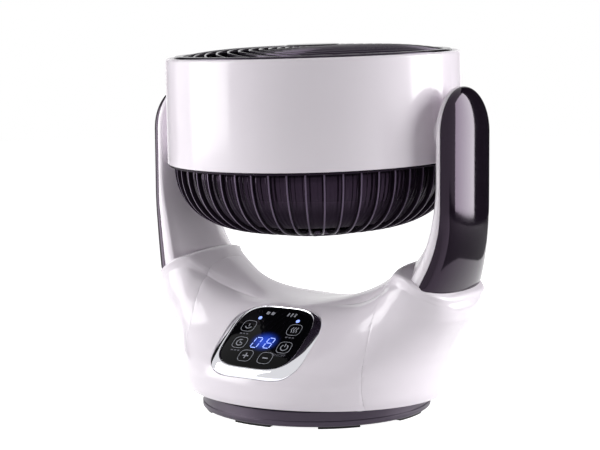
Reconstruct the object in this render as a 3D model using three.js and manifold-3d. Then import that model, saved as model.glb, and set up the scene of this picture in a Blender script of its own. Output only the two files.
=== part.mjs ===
// Desk air circulator: a drum-shaped fan head that tilts between the two arms of a saddle-shaped
// body, which swings on a round base. Millimetres, +Z up, the front faces -Y. The origin is on
// the floor under the middle of the base. The head is modelled facing up, leaning a little forward.
import * as THREE from 'three';
import { mergeVertices } from 'three/addons/utils/BufferGeometryUtils.js';
import Module from 'manifold-3d';

const wasm = await Module();
wasm.setup();

// ---- driving dimensions ------------------------------------------------------------------------
const fit = 0.3;                      // clearance between two pieces that sit against each other
const over = 1;                       // how far a cutter runs past the face that it cuts

// base that stands on the table
const footHeight = 1.7;
const footCount = 8;
const footInset = 2.5;                // from the base's edge to the pads
const footWidth = 11;
const footSweep = 21;                 // degrees of arc that one foot pad covers
const baseInset = 4.1;                // the base stands back this far under the body's front
const baseBottom = footHeight + fit;
const baseTop = 15.5;
const baseWall = 2.5;
const baseCoverThickness = 2;
const bossRadius = 19;
const bossBore = 9;
const bossRise = 10.5;                // how far the centre boss stands above the base

// swing bearing, gears and motor
const thrustInset = 8.5;              // from the base's edge to the thrust ring
const thrustWidth = 10;
const thrustThickness = 1.2;
const plateThickness = 2.5;
const gearModule = 1.5;
const sunTeeth = 40;
const pinionTeeth = 8;
const gearThickness = 6;
const gearBacklash = 0.25;
const swingMotorRadius = 14;
const swingMotorHeight = 19;
const motorShaftRadius = 2.2;
const screwRadius = 1.6;
const screwHeadRadius = 3.2;
const screwHeadHeight = 2;

// saddle-shaped body
const bodyHalfLength = 117;           // half size along X at the lower edge
const bodyHalfDepth = 104.6;          // half size along Y at the lower edge
const bodyBottom = baseTop + 1.5;
const bodyWall = 2.6;
const bodyColumns = 44;
const saddleRadius = 157;             // round of the saddle, seen from the front
const saddleBottom = 96;              // height of the crest in the middle of the saddle
const collarInset = 37;               // from an arm's inner face to where its collar begins
const collarReach = 4.4;              // the collars reach this far outside the arms' parting line
const collarHeight = 136.5;           // height of the collar's inner edge
const collarSlope = 0.58;             // the collar's rim falls outwards at this rate
const collarHalfDepth = 57;           // half size along Y at the collars
const shoulderSoftness = 3;           // how gently the saddle runs over into a collar
const seamX = 92;                     // the front shell reaches this far to each side
const seamY = 14;                     // and this far behind the middle, on the crest
const postRadius = 6.2;               // posts in the shells that the body screws go into
const postLength = 10;
const postInset = 6.6;                // from the body's lower edge to the middle of a post
const postAngle = 40;                 // degrees from the X axis

// arms
const pivotHeight = 242;
const armHalfWidth = 38;              // half size along Y of the straight part
const armShellDepth = 4.6;            // from an arm's inner face to where the black cover meets it
const armCoverDepth = 12.3;           // from there to the crown of the black cover
const armBendStart = 37;              // below the pivot the inner face starts to bend inwards
const armBendRadius = 74;             // and bends with this radius in the middle
const armEdgeBendRadius = 172;        // and with this one along its edges
const partingBendStart = 57;
const partingBendRadius = 150;
const armRootStart = 72;              // below the pivot an arm grows wider and its crown bends in
const armFlareRadius = 134;
const crownBendRadius = 143;
const armRootMargin = 3.5;            // the inner face stays this far outside the collar's edge
const armWall = 2.4;
const armEdgeRound = 2.2;
const armRootHalfWidth = 48.5;
const armLow = 104;
const armFloor = 3;                   // thickness of an arm's closed lower end
const tongueLength = 10;              // how far the tongue of an arm reaches into the body
const tongueInset = 14;               // from an arm's inner face to its tongue
const tongueThickness = 10;
const tongueHalfWidth = 30;
const bushRadius = 11;
const bushFlange = 2;

// control panel on the sloping front of the body
const panelTilt = 38;                 // degrees from level
const panelY = -75;
const panelZ = saddleBottom - 25.6;
const panelSquareness = 3.6;          // 2 is an ellipse, higher is closer to a rectangle
const glassHalfWidth = 37.6;
const glassHalfHeight = 34.3;
const glassThickness = 2;
const bezelHalfWidth = 46.5;
const bezelHalfHeight = 39.2;
const bezelShift = -3.2;              // the bezel's skirt is wider at the lower edge
const bezelDrop = 4;                  // how far the skirt falls to the body at the lower edge
const bezelDepth = 9;
const displayHalfWidth = 15;
const displayHalfHeight = 9;
const displayThickness = 4;
const displayShift = -6;
const boardThickness = 1.6;
const boardHalfWidth = 30;
const boardHalfHeight = 24;

// power board and cord entry at the back of the body
const powerBoardLength = 70;
const powerBoardWidth = 44;
const powerBoardInset = 42.6;         // from the back of the body to the middle of the board
const transformerSize = [22, 18, 16];
const terminalSize = [12, 26, 10];
const capacitorRadius = 5;
const capacitorHeight = 18;
const boardPostRise = 6.2;
const glandRadius = 6.5;
const glandBore = 3.4;
const glandHeight = 35;
const glandOut = 2.4;                 // the body is this much deeper at the gland's height

// fan head, in its own frame: the axis is Z and the tilt pivot is at the origin
const headLean = 2.4;                 // degrees that the head leans forward as modelled
const shroudRearRadius = 128.7;
const shroudTaper = 1.4;              // the front is this much smaller in radius
const shroudFront = 66;
const shroudRear = -24;
const shroudWall = 2.5;
const rimRound = 2.8;
const rimWidth = 7.5;                 // from the drum's outside to the inner edge of its rim
const rimDepth = 8;
const pivotBossRadius = 16;
const pivotBossProud = 6.3;           // the boss stands this far out of the drum
const pivotGap = 6;                   // between the boss and the arm, filled by the pivot disc
const pivotShaftRadius = 7;
const washerRadius = 18;
const grilleRingWidth = 7.3;
const grilleCrown = 7.4;              // rise of the front grille's middle above the rim
const crownSquareness = 4;            // 2 is a parabola, higher is flatter in the middle
const grilleRingProud = 1.6;
const spiralRibs = 30;
const spiralSweep = 100;              // degrees that one rib sweeps from hub to ring
const spiralRibWidth = 1.7;
const spiralRibDepth = 5;
const ribSink = 0.4;                  // ribs and fins lie this much inside the rings they join
const ribEnd = 1.5;                   // and run this far into them
const frontHubRadius = 25;
const bandHeight = 2.6;
const bandWidth = 16.7;
const rearDepth = 84.5;               // depth of the rear grille's flat below the pivot
const domeSquareness = 2.4;           // 2 is an ellipse, higher is closer to a rectangle
const shoulderInset = 5.1;            // the rear fins leave the band this far inside its edge
const rearFins = 51;
const rearFinWidth = 1.5;
const rearFinDepth = 5;
const screenThickness = 1.2;
const rearHubRadius = 44;
const hubBore = 20;
const hubPlate = 3;
const hubScrews = 3;
const hubScrewCircle = 34;
const hubCapThickness = 2.5;
const podTopRadius = 62;
const podLowRadius = 41.5;
const podTop = -32;
const podWall = 2.2;
const podFloor = rearDepth - hubPlate - fit;
const ductGap = 13.3;                 // between the outsides of the drum and of the duct
const ductWall = 2;
const ductTop = 52;

// motor and impeller
const fanMotorRadius = 36;
const fanMotorLength = 34;
const fanShaftRadius = 4;
const impellerHubRadius = 30;
const tipGap = 3;                     // between the blade tips and the duct
const impellerRear = -26;
const impellerFront = 16;
const bladeCount = 7;
const bladeThickness = 2.2;
const spinnerRadius = 12;

// sizes that follow from these
const baseRadius = bodyHalfDepth - baseInset;
const footOuter = baseRadius - footInset;
const footInner = footOuter - footWidth;
const thrustOuter = baseRadius - thrustInset;
const thrustInner = thrustOuter - thrustWidth;
const powerBoardY = bodyHalfDepth - powerBoardInset;
const shroudFrontRadius = shroudRearRadius - shroudTaper;
const mouthRadius = shroudFrontRadius - rimWidth;
const grilleRingInner = mouthRadius - grilleRingWidth;
const ductRadius = shroudFrontRadius - ductGap;
const impellerTipRadius = ductRadius - ductWall - tipGap;
const bandInner = shroudRearRadius - bandWidth;
const rearShoulder = shroudRearRadius - shoulderInset;
const pivotBossX = shroudRearRadius + pivotBossProud;
const armInnerX = pivotBossX + pivotGap;
const armPartingX = armInnerX + armShellDepth;
const armOuterX = armPartingX + armCoverDepth;
const tongueOuter = armInnerX - tongueInset;
const tongueInner = tongueOuter - tongueThickness;
const collarX = armInnerX - collarInset;
const collarHalfLength = armPartingX + collarReach;

// finishes
const white = { color: 0xe9e6ea, roughness: 0.16, metalness: 0 };
const gloss = { color: 0x15121a, roughness: 0.1, metalness: 0 };
const black = { color: 0x1b181f, roughness: 0.4, metalness: 0 };
const greyPlastic = { color: 0x3a3640, roughness: 0.45, metalness: 0 };
const chrome = { color: 0xd8d8dc, roughness: 0.08, metalness: 1 };
const steel = { color: 0x9a9aa0, roughness: 0.35, metalness: 1 };
const rubber = { color: 0x141414, roughness: 0.9, metalness: 0 };
const acetal = { color: 0xd9d5c8, roughness: 0.5, metalness: 0 };
const board = { color: 0x1e5a34, roughness: 0.5, metalness: 0 };

// ---- small tools -------------------------------------------------------------------------------
const radians = THREE.MathUtils.degToRad;
const model = new THREE.Group();

function solid(geometry) {
  const bare = geometry.clone();
  for (const key of ['normal', 'uv', 'uv1', 'color']) bare.deleteAttribute(key);
  const welded = mergeVertices(bare, 1e-4);
  const index = welded.index.array;
  const kept = [];
  for (let i = 0; i < index.length; i += 3) {
    const [a, b, c] = [index[i], index[i + 1], index[i + 2]];
    if (a !== b && b !== c && a !== c) kept.push(a, b, c);
  }
  return new wasm.Manifold(new wasm.Mesh({
    numProp: 3,
    vertProperties: new Float32Array(welded.attributes.position.array),
    triVerts: new Uint32Array(kept),
  }));
}

function geometryOf(body) {
  const mesh = body.getMesh();
  const geometry = new THREE.BufferGeometry();
  geometry.setAttribute('position', new THREE.BufferAttribute(mesh.vertProperties.slice(), 3));
  geometry.setIndex(new THREE.BufferAttribute(mesh.triVerts.slice(), 1));
  geometry.computeVertexNormals();
  return geometry;
}

function addPart(parent, name, body, finish) {
  const mesh = new THREE.Mesh(geometryOf(body), new THREE.MeshStandardMaterial(finish));
  mesh.name = name;
  parent.add(mesh);
  return mesh;
}

// a body of revolution about Z from a closed list of [radius, height] corners
function turned(corners, segments = 48) {
  const outline = corners.map(([r, z]) => new THREE.Vector2(r, z));
  outline.push(outline[0].clone());
  const geometry = new THREE.LatheGeometry(outline, segments);
  geometry.rotateX(Math.PI / 2);
  return closed(geometry);
}

function flipped(geometry) {
  const copy = geometry.clone();
  const index = copy.index.array;
  for (let i = 0; i < index.length; i += 3) [index[i], index[i + 1]] = [index[i + 1], index[i]];
  return copy;
}

// a body from a closed geometry whose faces all look in or all look out
function closed(geometry) {
  const index = geometry.index.array;
  const corners = geometry.attributes.position;
  const [a, b, c] = [new THREE.Vector3(), new THREE.Vector3(), new THREE.Vector3()];
  let volume = 0;
  for (let i = 0; i < index.length; i += 3) {
    a.fromBufferAttribute(corners, index[i]);
    b.fromBufferAttribute(corners, index[i + 1]);
    c.fromBufferAttribute(corners, index[i + 2]);
    volume += a.dot(b.cross(c));
  }
  return solid(volume < 0 ? flipped(geometry) : geometry);
}

// the same body moved, turned or mirrored by a matrix
function placed(body, matrix) {
  const geometry = geometryOf(body).applyMatrix4(matrix);
  return solid(matrix.determinant() < 0 ? flipped(geometry) : geometry);
}

function moved(body, x, y, z = 0) {
  return placed(body, new THREE.Matrix4().makeTranslation(x, y, z));
}

function spunX(body, degrees) {
  return placed(body, new THREE.Matrix4().makeRotationX(radians(degrees)));
}

function spunY(body, degrees) {
  return placed(body, new THREE.Matrix4().makeRotationY(radians(degrees)));
}

function spunZ(body, degrees) {
  return placed(body, new THREE.Matrix4().makeRotationZ(radians(degrees)));
}

// the body itself for the right-hand side (1), its mirror image for the left (-1)
function mirrored(body, side) {
  return side > 0 ? body : placed(body, new THREE.Matrix4().makeScale(-1, 1, 1));
}

function tube(inner, outer, low, high, segments = 48) {
  return turned([[inner, low], [outer, low], [outer, high], [inner, high]], segments);
}

function rod(radius, low, high, segments = 24, x = 0, y = 0) {
  const geometry = new THREE.CylinderGeometry(radius, radius, high - low, segments);
  geometry.rotateX(Math.PI / 2);
  geometry.translate(x, y, (low + high) / 2);
  return solid(geometry);
}

function block(sizeX, sizeY, sizeZ, x = 0, y = 0, z = 0) {
  const geometry = new THREE.BoxGeometry(sizeX, sizeY, sizeZ);
  geometry.translate(x, y, z);
  return solid(geometry);
}

// whether a ring of points has shrunk to a line or a point
function shrunk(ring) {
  const area = new THREE.Vector3();
  ring.forEach((point, j) => {
    area.add(point.clone().cross(ring[(j + 1) % ring.length]));
  });
  return area.length() < 1e-3;
}

// a closed skin over a stack of rings that all have the same number of points
function skin(rings) {
  const count = rings[0].length;
  const points = rings.flat();
  const faces = [];
  for (let k = 0; k + 1 < rings.length; k += 1) {
    for (let j = 0; j < count; j += 1) {
      const next = (j + 1) % count;
      const [a, b] = [k * count + j, k * count + next];
      faces.push(a, b, b + count, a, b + count, a + count);
    }
  }
  const last = (rings.length - 1) * count;
  const [closeFirst, closeLast] = [!shrunk(rings[0]), !shrunk(rings[rings.length - 1])];
  for (let j = 1; j + 1 < count; j += 1) {
    if (closeFirst) faces.push(0, j + 1, j);
    if (closeLast) faces.push(last, last + j, last + j + 1);
  }
  const geometry = new THREE.BufferGeometry();
  const flat = new Float32Array(points.flatMap((p) => [p.x, p.y, p.z]));
  geometry.setAttribute('position', new THREE.BufferAttribute(flat, 3));
  geometry.setIndex(faces);
  return closed(geometry);
}

function extruded(outline, depth, low = 0) {
  const shape = new THREE.Shape(outline.map(([x, y]) => new THREE.Vector2(x, y)));
  const geometry = new THREE.ExtrudeGeometry(shape, { depth, bevelEnabled: false });
  return solid(geometry.translate(0, 0, low));
}

function blend(low, high, value) {
  return THREE.MathUtils.smoothstep(value, low, high);
}

// ---- base --------------------------------------------------------------------------------------
function makeBase() {
  const base = new THREE.Group();
  model.add(base);
  const lip = baseBottom + baseCoverThickness + fit;
  let housing = turned([
    [baseRadius - baseWall, baseBottom], [baseRadius, baseBottom],
    [baseRadius, baseTop - 1], [baseRadius - 1, baseTop],
    [bossRadius, baseTop], [bossRadius, baseTop + bossRise], [bossBore, baseTop + bossRise],
    [bossBore, baseTop - baseWall], [baseRadius - baseWall, baseTop - baseWall],
  ]);
  for (const [x, y] of sunScrewPlaces()) {
    housing = housing.subtract(
      rod(screwRadius + fit, baseTop, baseTop + bossRise + over, 8, x, y));
  }
  addPart(base, 'base_housing', housing, greyPlastic);

  const coverRadius = baseRadius - baseWall - fit;
  addPart(base, 'base_bottom_cover', tube(bossBore, coverRadius, baseBottom, lip - fit), black);

  for (let i = 0; i < footCount; i += 1) {
    const shape = new THREE.Shape();
    const half = radians(footSweep) / 2;
    shape.absarc(0, 0, footOuter, -half, half, false);
    shape.absarc(0, 0, footInner, half, -half, true);
    const pad = new THREE.ExtrudeGeometry(shape, {
      depth: footHeight, bevelEnabled: false, curveSegments: 6,
    });
    pad.rotateZ(-Math.PI / 2 + (i * 2 * Math.PI) / footCount);
    addPart(base, `foot_${i + 1}`, solid(pad), rubber);
  }

  const thrustLow = baseTop + fit;
  const ring = tube(thrustInner, thrustOuter, thrustLow, thrustLow + thrustThickness, 30);
  addPart(base, 'thrust_ring', ring, acetal);
  makeSunGear(base);
}

const plateBottom = baseTop + 2 * fit + thrustThickness;
const plateTop = plateBottom + plateThickness;
const gearBottom = baseTop + bossRise + fit;
const gearTop = gearBottom + gearThickness;
const sunPitch = (gearModule * sunTeeth) / 2;
const pinionPitch = (gearModule * pinionTeeth) / 2;
const gearDistance = sunPitch + pinionPitch;
const swingMotorLow = gearTop + 2;
const powerBoardLow = plateTop + boardPostRise;
const sunScrewCircle = (bossRadius + bossBore) / 2;

function sunScrewPlaces() {
  const places = [];
  for (let i = 0; i < 3; i += 1) {
    const angle = (i * 2 * Math.PI) / 3;
    places.push([sunScrewCircle * Math.cos(angle), sunScrewCircle * Math.sin(angle)]);
  }
  return places;
}

// outline of a spur gear with straight-sided teeth, thinned by half the backlash on each side
function gearOutline(teeth, phase) {
  const pitch = (gearModule * teeth) / 2;
  const tip = pitch + 0.9 * gearModule;
  const root = pitch - 1.15 * gearModule;
  const step = (2 * Math.PI) / teeth;
  const play = gearBacklash / 2 / pitch;
  const outline = [];
  for (let i = 0; i < teeth; i += 1) {
    const middle = phase + i * step;
    const foot = step * 0.36 - play;
    const crest = step * 0.13 - play / 2;
    for (const [angle, radius] of [[-foot, root], [-crest, tip], [crest, tip], [foot, root]]) {
      outline.push([radius * Math.cos(middle + angle), radius * Math.sin(middle + angle)]);
    }
  }
  return outline;
}

function makeSunGear(base) {
  let gear = extruded(gearOutline(sunTeeth, 0), gearThickness, gearBottom);
  gear = gear.subtract(rod(bossBore, gearBottom - over, gearTop + over, 36));
  sunScrewPlaces().forEach(([x, y], i) => {
    gear = gear.subtract(rod(screwRadius + fit, gearBottom - over, gearTop + over, 8, x, y));
    const headLow = gearTop + fit;
    const screw = rod(screwRadius, baseTop + 1, headLow, 8, x, y)
      .add(rod(screwHeadRadius, headLow, headLow + screwHeadHeight, 8, x, y));
    addPart(base, `base_screw_${i + 1}`, screw, steel);
  });
  addPart(base, 'sun_gear', gear, acetal);
}

// ---- body shape --------------------------------------------------------------------------------
function collarPlane(x) {
  return collarHeight - collarSlope * (Math.abs(x) - collarX);
}

// height of the saddle's crest line, which runs over into the sloping rim of a collar
function crestHeight(x) {
  const far = Math.min(Math.abs(x), saddleRadius - 1);
  const round = saddleBottom + saddleRadius - Math.sqrt(saddleRadius ** 2 - far ** 2);
  const gap = collarPlane(x) - round;
  return (collarPlane(x) + round - Math.sqrt(gap * gap + shoulderSoftness ** 2)) / 2;
}

// Levels of the skin, from the lower edge over the front slope to the crest. long goes from the
// lower edge's half length (0) to the collars' (1); deep is the half depth in the middle as a
// share of the lower edge's; lobe goes from the lower edge's half depth (0) to the collars' (1);
// up goes from the lower edge (0) to the crest (1); rise is the share of the crest's climb
// towards the arms; waist and lift are millimetres drawn in beside, and raised at, the collars.
const bodyLevels = [
  { long: 0, deep: 1, lobe: 0, square: 2, up: 0, rise: 0, waist: 0, lift: 0 },
  { long: 0.07, deep: 1.02, lobe: -0.04, square: 2.05, up: 0.08, rise: 0, waist: 0, lift: 0 },
  { long: 0.1, deep: 1.023, lobe: -0.05, square: 2.1, up: 0.21, rise: 0.02, waist: 0, lift: 0 },
  { long: 0.19, deep: 1.004, lobe: 0.05, square: 2.15, up: 0.34, rise: 0.08, waist: 1, lift: 0 },
  { long: 0.35, deep: 0.915, lobe: 0.29, square: 2.25, up: 0.47, rise: 0.2, waist: 4, lift: 0 },
  { long: 0.62, deep: 0.755, lobe: 0.63, square: 2.4, up: 0.633, rise: 0.42, waist: 8, lift: 0 },
  { long: 0.87, deep: 0.574, lobe: 0.88, square: 2.55, up: 0.81, rise: 0.7, waist: 13, lift: -1 },
  { long: 0.975, deep: 0.45, lobe: 0.97, square: 2.9, up: 0.915, rise: 0.86, waist: 19, lift: -2.5 },
  { long: 0.98, deep: 0.4, lobe: 1.02, square: 3.5, up: 0.95, rise: 0.93, waist: 24, lift: -4.5 },
  { long: 1.005, deep: 0.36, lobe: 0.99, square: 4.3, up: 0.967, rise: 0.97, waist: 27, lift: -2.5 },
  { long: 0.995, deep: 0.32, lobe: 1, square: 5, up: 0.978, rise: 1, waist: 28, lift: -0.4 },
  { long: 0.96, deep: 0.24, lobe: 1.04, square: 5, up: 0.992, rise: 1, waist: 26, lift: 0 },
  { long: 0.7, deep: 0.12, lobe: 1.4, square: 4, up: 1, rise: 1, waist: 14, lift: 0 },
  { long: 0.3, deep: 0, lobe: 2.2, square: 2.4, up: 1, rise: 1, waist: 0, lift: 0 },
];

const frontWaist = 1.25;              // the front is drawn in more than the back

// levels that the inside of the shells does without
const innerSkips = [1, 3, 10, 12];

function mix(from, to, share) {
  return from + (to - from) * share;
}

function bodyRing(level, share, wall) {
  const long = mix(bodyHalfLength, collarHalfLength, level.long) - wall;
  const middle = Math.max(bodyHalfDepth * level.deep - wall, 0);
  const lobe = level.deep > 0 ? mix(bodyHalfDepth, collarHalfDepth, level.lobe) - wall : 0;
  const ring = [];
  for (let j = 0; j < bodyColumns; j += 1) {
    const angle = (j * 2 * Math.PI) / bodyColumns;
    const [c, s] = [Math.cos(angle), Math.sin(angle)];
    const x = long * c;
    const bow = Math.max(1 - Math.abs(c) ** level.square, 0) ** (1 / level.square);
    const away = Math.abs(x) / collarHalfLength;
    const drawn = blend(0.08, 0.5, away) * (1 - blend(0.66, 0.84, away));
    const waist = level.waist * drawn * (s < 0 ? frontWaist : 1);
    const deep = mix(middle, lobe, blend(0.13, 0.77, away)) - waist;
    const y = Math.sign(s) * Math.max(deep, 0) * bow;
    const climb = (crestHeight(x) - crestHeight(0)) * level.rise + level.lift * blend(0.6, 0.8, away);
    const z = mix(bodyBottom, saddleBottom, level.up) + climb - wall * share;
    ring.push(new THREE.Vector3(x, Math.abs(s) < 1e-9 ? 0 : y, z));
  }
  return ring;
}

function bodySkin(wall, low = bodyBottom) {
  const rings = bodyLevels.map((level, k) => bodyRing(level, blend(2, 9, k), wall));
  if (wall === 0) return skin(rings);
  const inner = rings.filter((ring, k) => !innerSkips.includes(k));
  inner.unshift(rings[0].map((p) => new THREE.Vector3(p.x, p.y, low)));
  return skin(inner);
}

// ---- arm shape ---------------------------------------------------------------------------------
// a straight measure that bends away below a height as a parabola with the given radius
function eased(straight, from, radius, z) {
  const below = Math.max(from - z, 0);
  return straight - (below * below) / (2 * radius);
}

function armSection(z) {
  const above = THREE.MathUtils.clamp((z - pivotHeight) / armHalfWidth, 0, 1);
  const round = Math.sqrt(1 - above * above);
  const parting = eased(armPartingX, pivotHeight - partingBendStart, partingBendRadius, z);
  const rootStart = pivotHeight - armRootStart;
  const flare = armHalfWidth - eased(armHalfWidth, rootStart, armFlareRadius, z);
  const bendStart = pivotHeight - armBendStart;
  const innermost = collarX + armRootMargin;
  return {
    half: Math.min(armHalfWidth + flare, armRootHalfWidth) * round,
    inner: Math.max(eased(armInnerX, bendStart, armBendRadius, z), innermost),
    edge: Math.max(eased(armInnerX, bendStart, armEdgeBendRadius, z), innermost),
    parting,
    bulge: (eased(armOuterX, rootStart, crownBendRadius, z) - parting) * round,
  };
}

function armHeights(low, high = pivotHeight + armHalfWidth) {
  const heights = [];
  for (let z = low; z < pivotHeight - 50; z += 14) heights.push(z);
  heights.push(pivotHeight - 46, pivotHeight - 22);
  for (let i = 0; i <= 5; i += 1) {
    heights.push(Math.min(pivotHeight + armHalfWidth * Math.sin((i * Math.PI) / 10), high));
  }
  return [...new Set(heights)];
}

// closed section of the white half of an arm, from the parting line round the inner face
function shellSection(z, wall) {
  const { half: full, inner, edge, parting } = armSection(z);
  const half = Math.max(full - wall, 0);
  const outer = parting + (wall > 0 ? over : 0);
  const corner = Math.min(armEdgeRound, half);
  const points = [new THREE.Vector3(outer, -half, z)];
  const steps = 6;
  for (let i = 0; i <= steps; i += 1) {
    const t = -1 + (2 * i) / steps;
    const face = mix(inner, edge, t * t) + wall;
    const atEdge = Math.abs(t) === 1;
    const y = t * half - (atEdge ? 0 : 0.3 * corner * t ** 3);
    points.push(new THREE.Vector3(Math.min(face + (atEdge ? corner : 0), outer - 0.4), y, z));
  }
  points.push(new THREE.Vector3(outer, half, z));
  return points;
}

// closed section of the black half of an arm, from the parting line round the crown
function coverSection(z, wall) {
  const { half: full, parting, bulge: crown } = armSection(z);
  const half = Math.max(full - wall, 0);
  const bulge = Math.max(crown - wall, 0);
  const start = parting + (wall > 0 ? -over : fit);
  const points = [];
  const steps = 8;
  for (let i = 0; i <= steps; i += 1) {
    const angle = -Math.PI / 2 + (i * Math.PI) / steps;
    const x = start + bulge * Math.max(Math.cos(angle), 0) ** 0.85;
    points.push(new THREE.Vector3(x, half * Math.sin(angle), z));
  }
  return points;
}

// everything above a plane that runs parallel to the rim of the right-hand collar
function aboveCollar(rise) {
  const size = 4 * pivotHeight;
  const slab = new THREE.BoxGeometry(size, size, size);
  slab.translate(0, 0, size / 2);
  slab.rotateY(Math.atan(collarSlope));
  slab.translate(collarX, 0, collarHeight + rise);
  return solid(slab);
}

// the tongue under the right-hand arm that reaches through the body's skin
function tongue(grow) {
  const wide = tongueOuter - tongueInner + 2 * grow;
  const middle = (tongueInner + tongueOuter) / 2;
  return block(wide, 2 * (tongueHalfWidth + grow), 60, middle, 0, collarHeight)
    .intersect(aboveCollar(-tongueLength - grow))
    .subtract(aboveCollar(armFloor / 2 + grow));
}

// a round bar along X at the height of the pivot
function alongX(radius, low, high, segments = 18) {
  return moved(spunY(rod(radius, low, high, segments), 90), 0, 0, pivotHeight);
}

function makeArms(yoke) {
  const root = aboveCollar(fit);
  const room = aboveCollar(fit + armFloor);
  const inside = armHeights(armLow, pivotHeight + armHalfWidth - 1.2 * armWall);
  const shellInside = skin(inside.map((z) => shellSection(z, armWall))).intersect(room);
  const coverInside = skin(inside.map((z) => coverSection(z, armWall))).intersect(room);
  const bushHole = alongX(bushRadius + fit, armInnerX - over, armPartingX);
  const shell = skin(armHeights(armLow).map((z) => shellSection(z, 0))).intersect(root)
    .subtract(shellInside).subtract(bushHole).add(tongue(0));
  const cover = skin(armHeights(armLow).map((z) => coverSection(z, 0))).intersect(root)
    .subtract(coverInside);
  const shaftHole = alongX(pivotShaftRadius + fit, pivotBossX, armOuterX, 18);
  const washer = alongX(washerRadius, pivotBossX + fit, armInnerX - fit, 24).subtract(shaftHole);
  const flangeLow = armInnerX + armWall + fit;
  const bush = alongX(bushRadius, armInnerX, flangeLow + bushFlange)
    .add(alongX(bushRadius + 2, flangeLow, flangeLow + bushFlange)).subtract(shaftHole);
  for (const [word, side] of [['left', -1], ['right', 1]]) {
    addPart(yoke, `arm_${word}_shell`, mirrored(shell, side), white);
    addPart(yoke, `arm_${word}_cover`, mirrored(cover, side), gloss);
    addPart(yoke, `pivot_washer_${word}`, mirrored(washer, side), acetal);
    addPart(yoke, `pivot_bush_${word}`, mirrored(bush, side), acetal);
  }
}

// ---- yoke: the swinging body -------------------------------------------------------------------
function oval(halfX, halfY, square = 2, count = 40) {
  const outline = [];
  for (let i = 0; i < count; i += 1) {
    const angle = (i * 2 * Math.PI) / count;
    const [c, s] = [Math.cos(angle), Math.sin(angle)];
    outline.push([
      Math.sign(c) * halfX * Math.abs(c) ** (2 / square),
      Math.sign(s) * halfY * Math.abs(s) ** (2 / square),
    ]);
  }
  return outline;
}

function postPlaces() {
  const places = [];
  for (const [sx, sy] of [[-1, -1], [1, -1], [1, 1], [-1, 1]]) {
    const x = sx * (bodyHalfLength - postInset) * Math.cos(radians(postAngle));
    places.push([x, sy * (bodyHalfDepth - postInset) * Math.sin(radians(postAngle))]);
  }
  return places;
}

function makeBodyShells(yoke) {
  const outer = bodySkin(0);
  let hollow = outer.subtract(bodySkin(bodyWall, bodyBottom - over));
  for (const [x, y] of postPlaces()) {
    hollow = hollow.add(rod(postRadius, plateTop + fit, plateTop + postLength, 6, x, y));
    hollow = hollow.subtract(
      rod(screwRadius + fit, plateTop, plateTop + postLength - 2, 8, x, y));
  }
  const slot = tongue(fit);
  hollow = hollow.subtract(slot).subtract(mirrored(slot, -1));
  const opening = extruded(
    oval(bezelHalfWidth + fit, bezelHalfHeight + fit, panelSquareness), 60, -40);
  hollow = hollow.subtract(moved(
    spunX(moved(opening, 0, bezelShift), panelTilt), 0, panelY, panelZ));
  const gland = rod(glandRadius + fit, bodyHalfDepth - 10, bodyHalfDepth + 10, 16);
  hollow = hollow.subtract(moved(spunX(gland, -90), 0, 0, glandHeight));

  const reach = 2 * bodyHalfDepth;
  const front = block(2 * seamX, reach, 2 * pivotHeight, 0, seamY - reach / 2, 0);
  const wider = block(2 * (seamX + fit), reach, 2 * pivotHeight, 0, seamY + fit - reach / 2, 0);
  addPart(yoke, 'body_front_shell', hollow.intersect(front), white);
  addPart(yoke, 'body_rear_shell', hollow.subtract(wider), white);
}

function makePlate(yoke) {
  const edge = bodyWall + 2 * fit;
  const hubTop = gearBottom - fit;
  let plate = extruded(
    oval(bodyHalfLength - edge, bodyHalfDepth - edge), plateThickness, plateBottom);
  plate = plate.add(rod(bossRadius + 8, plateBottom, hubTop, 36));
  plate = plate.subtract(rod(bossRadius + 2 * fit, plateBottom - over, hubTop + over, 36));
  for (const sign of [-1, 1]) {
    const y = sign * (swingMotorRadius + 2.5);
    plate = plate.add(rod(3.5, plateTop - over, swingMotorLow - fit, 12, gearDistance, y));
  }
  for (const [x, y] of boardPostPlaces()) {
    plate = plate.add(rod(3, plateTop - over, powerBoardLow - fit, 8, x, y));
  }
  for (const [x, y] of postPlaces()) {
    plate = plate.subtract(
      rod(screwRadius + fit, plateBottom - over, plateTop + over, 8, x, y));
  }
  addPart(yoke, 'yoke_plate', plate, greyPlastic);
  const headTop = plateBottom - fit;
  postPlaces().forEach(([x, y], i) => {
    const screw = rod(screwHeadRadius, headTop - thrustThickness, headTop, 8, x, y)
      .add(rod(screwRadius, headTop - over / 2, plateTop + postLength - 4, 8, x, y));
    addPart(yoke, `body_screw_${i + 1}`, screw, steel);
  });
}

function boardPostPlaces() {
  const [halfX, halfY] = [powerBoardLength / 2 - 4, powerBoardWidth / 2 - 4];
  return [[-halfX, -halfY], [halfX, -halfY], [halfX, halfY], [-halfX, halfY]]
    .map(([x, y]) => [x, y + powerBoardY]);
}

function makeSwingDrive(yoke) {
  const [x, low] = [gearDistance, swingMotorLow];
  const motor = rod(swingMotorRadius, low, low + swingMotorHeight, 32, x)
    .add(block(8, 2 * swingMotorRadius + 12, 1.5, x, 0, low + 0.75))
    .add(rod(motorShaftRadius, gearBottom + fit, low + over, 16, x));
  addPart(yoke, 'swing_motor', motor, steel);

  const pinion = new THREE.Group();
  pinion.position.set(gearDistance, 0, 0);
  yoke.add(pinion);
  const outline = gearOutline(pinionTeeth, Math.PI / pinionTeeth);
  const gear = extruded(outline, gearThickness, gearBottom)
    .subtract(rod(motorShaftRadius + fit, gearBottom - over, gearTop + over, 16));
  addPart(pinion, 'drive_pinion', gear, acetal);
}

const solderSink = 0.1;               // parts on the board are sunk into it by this much

function boxOnBoard([length, width, height], x, top) {
  return block(length, width, height, x, powerBoardY, top + height / 2 - solderSink);
}

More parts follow.
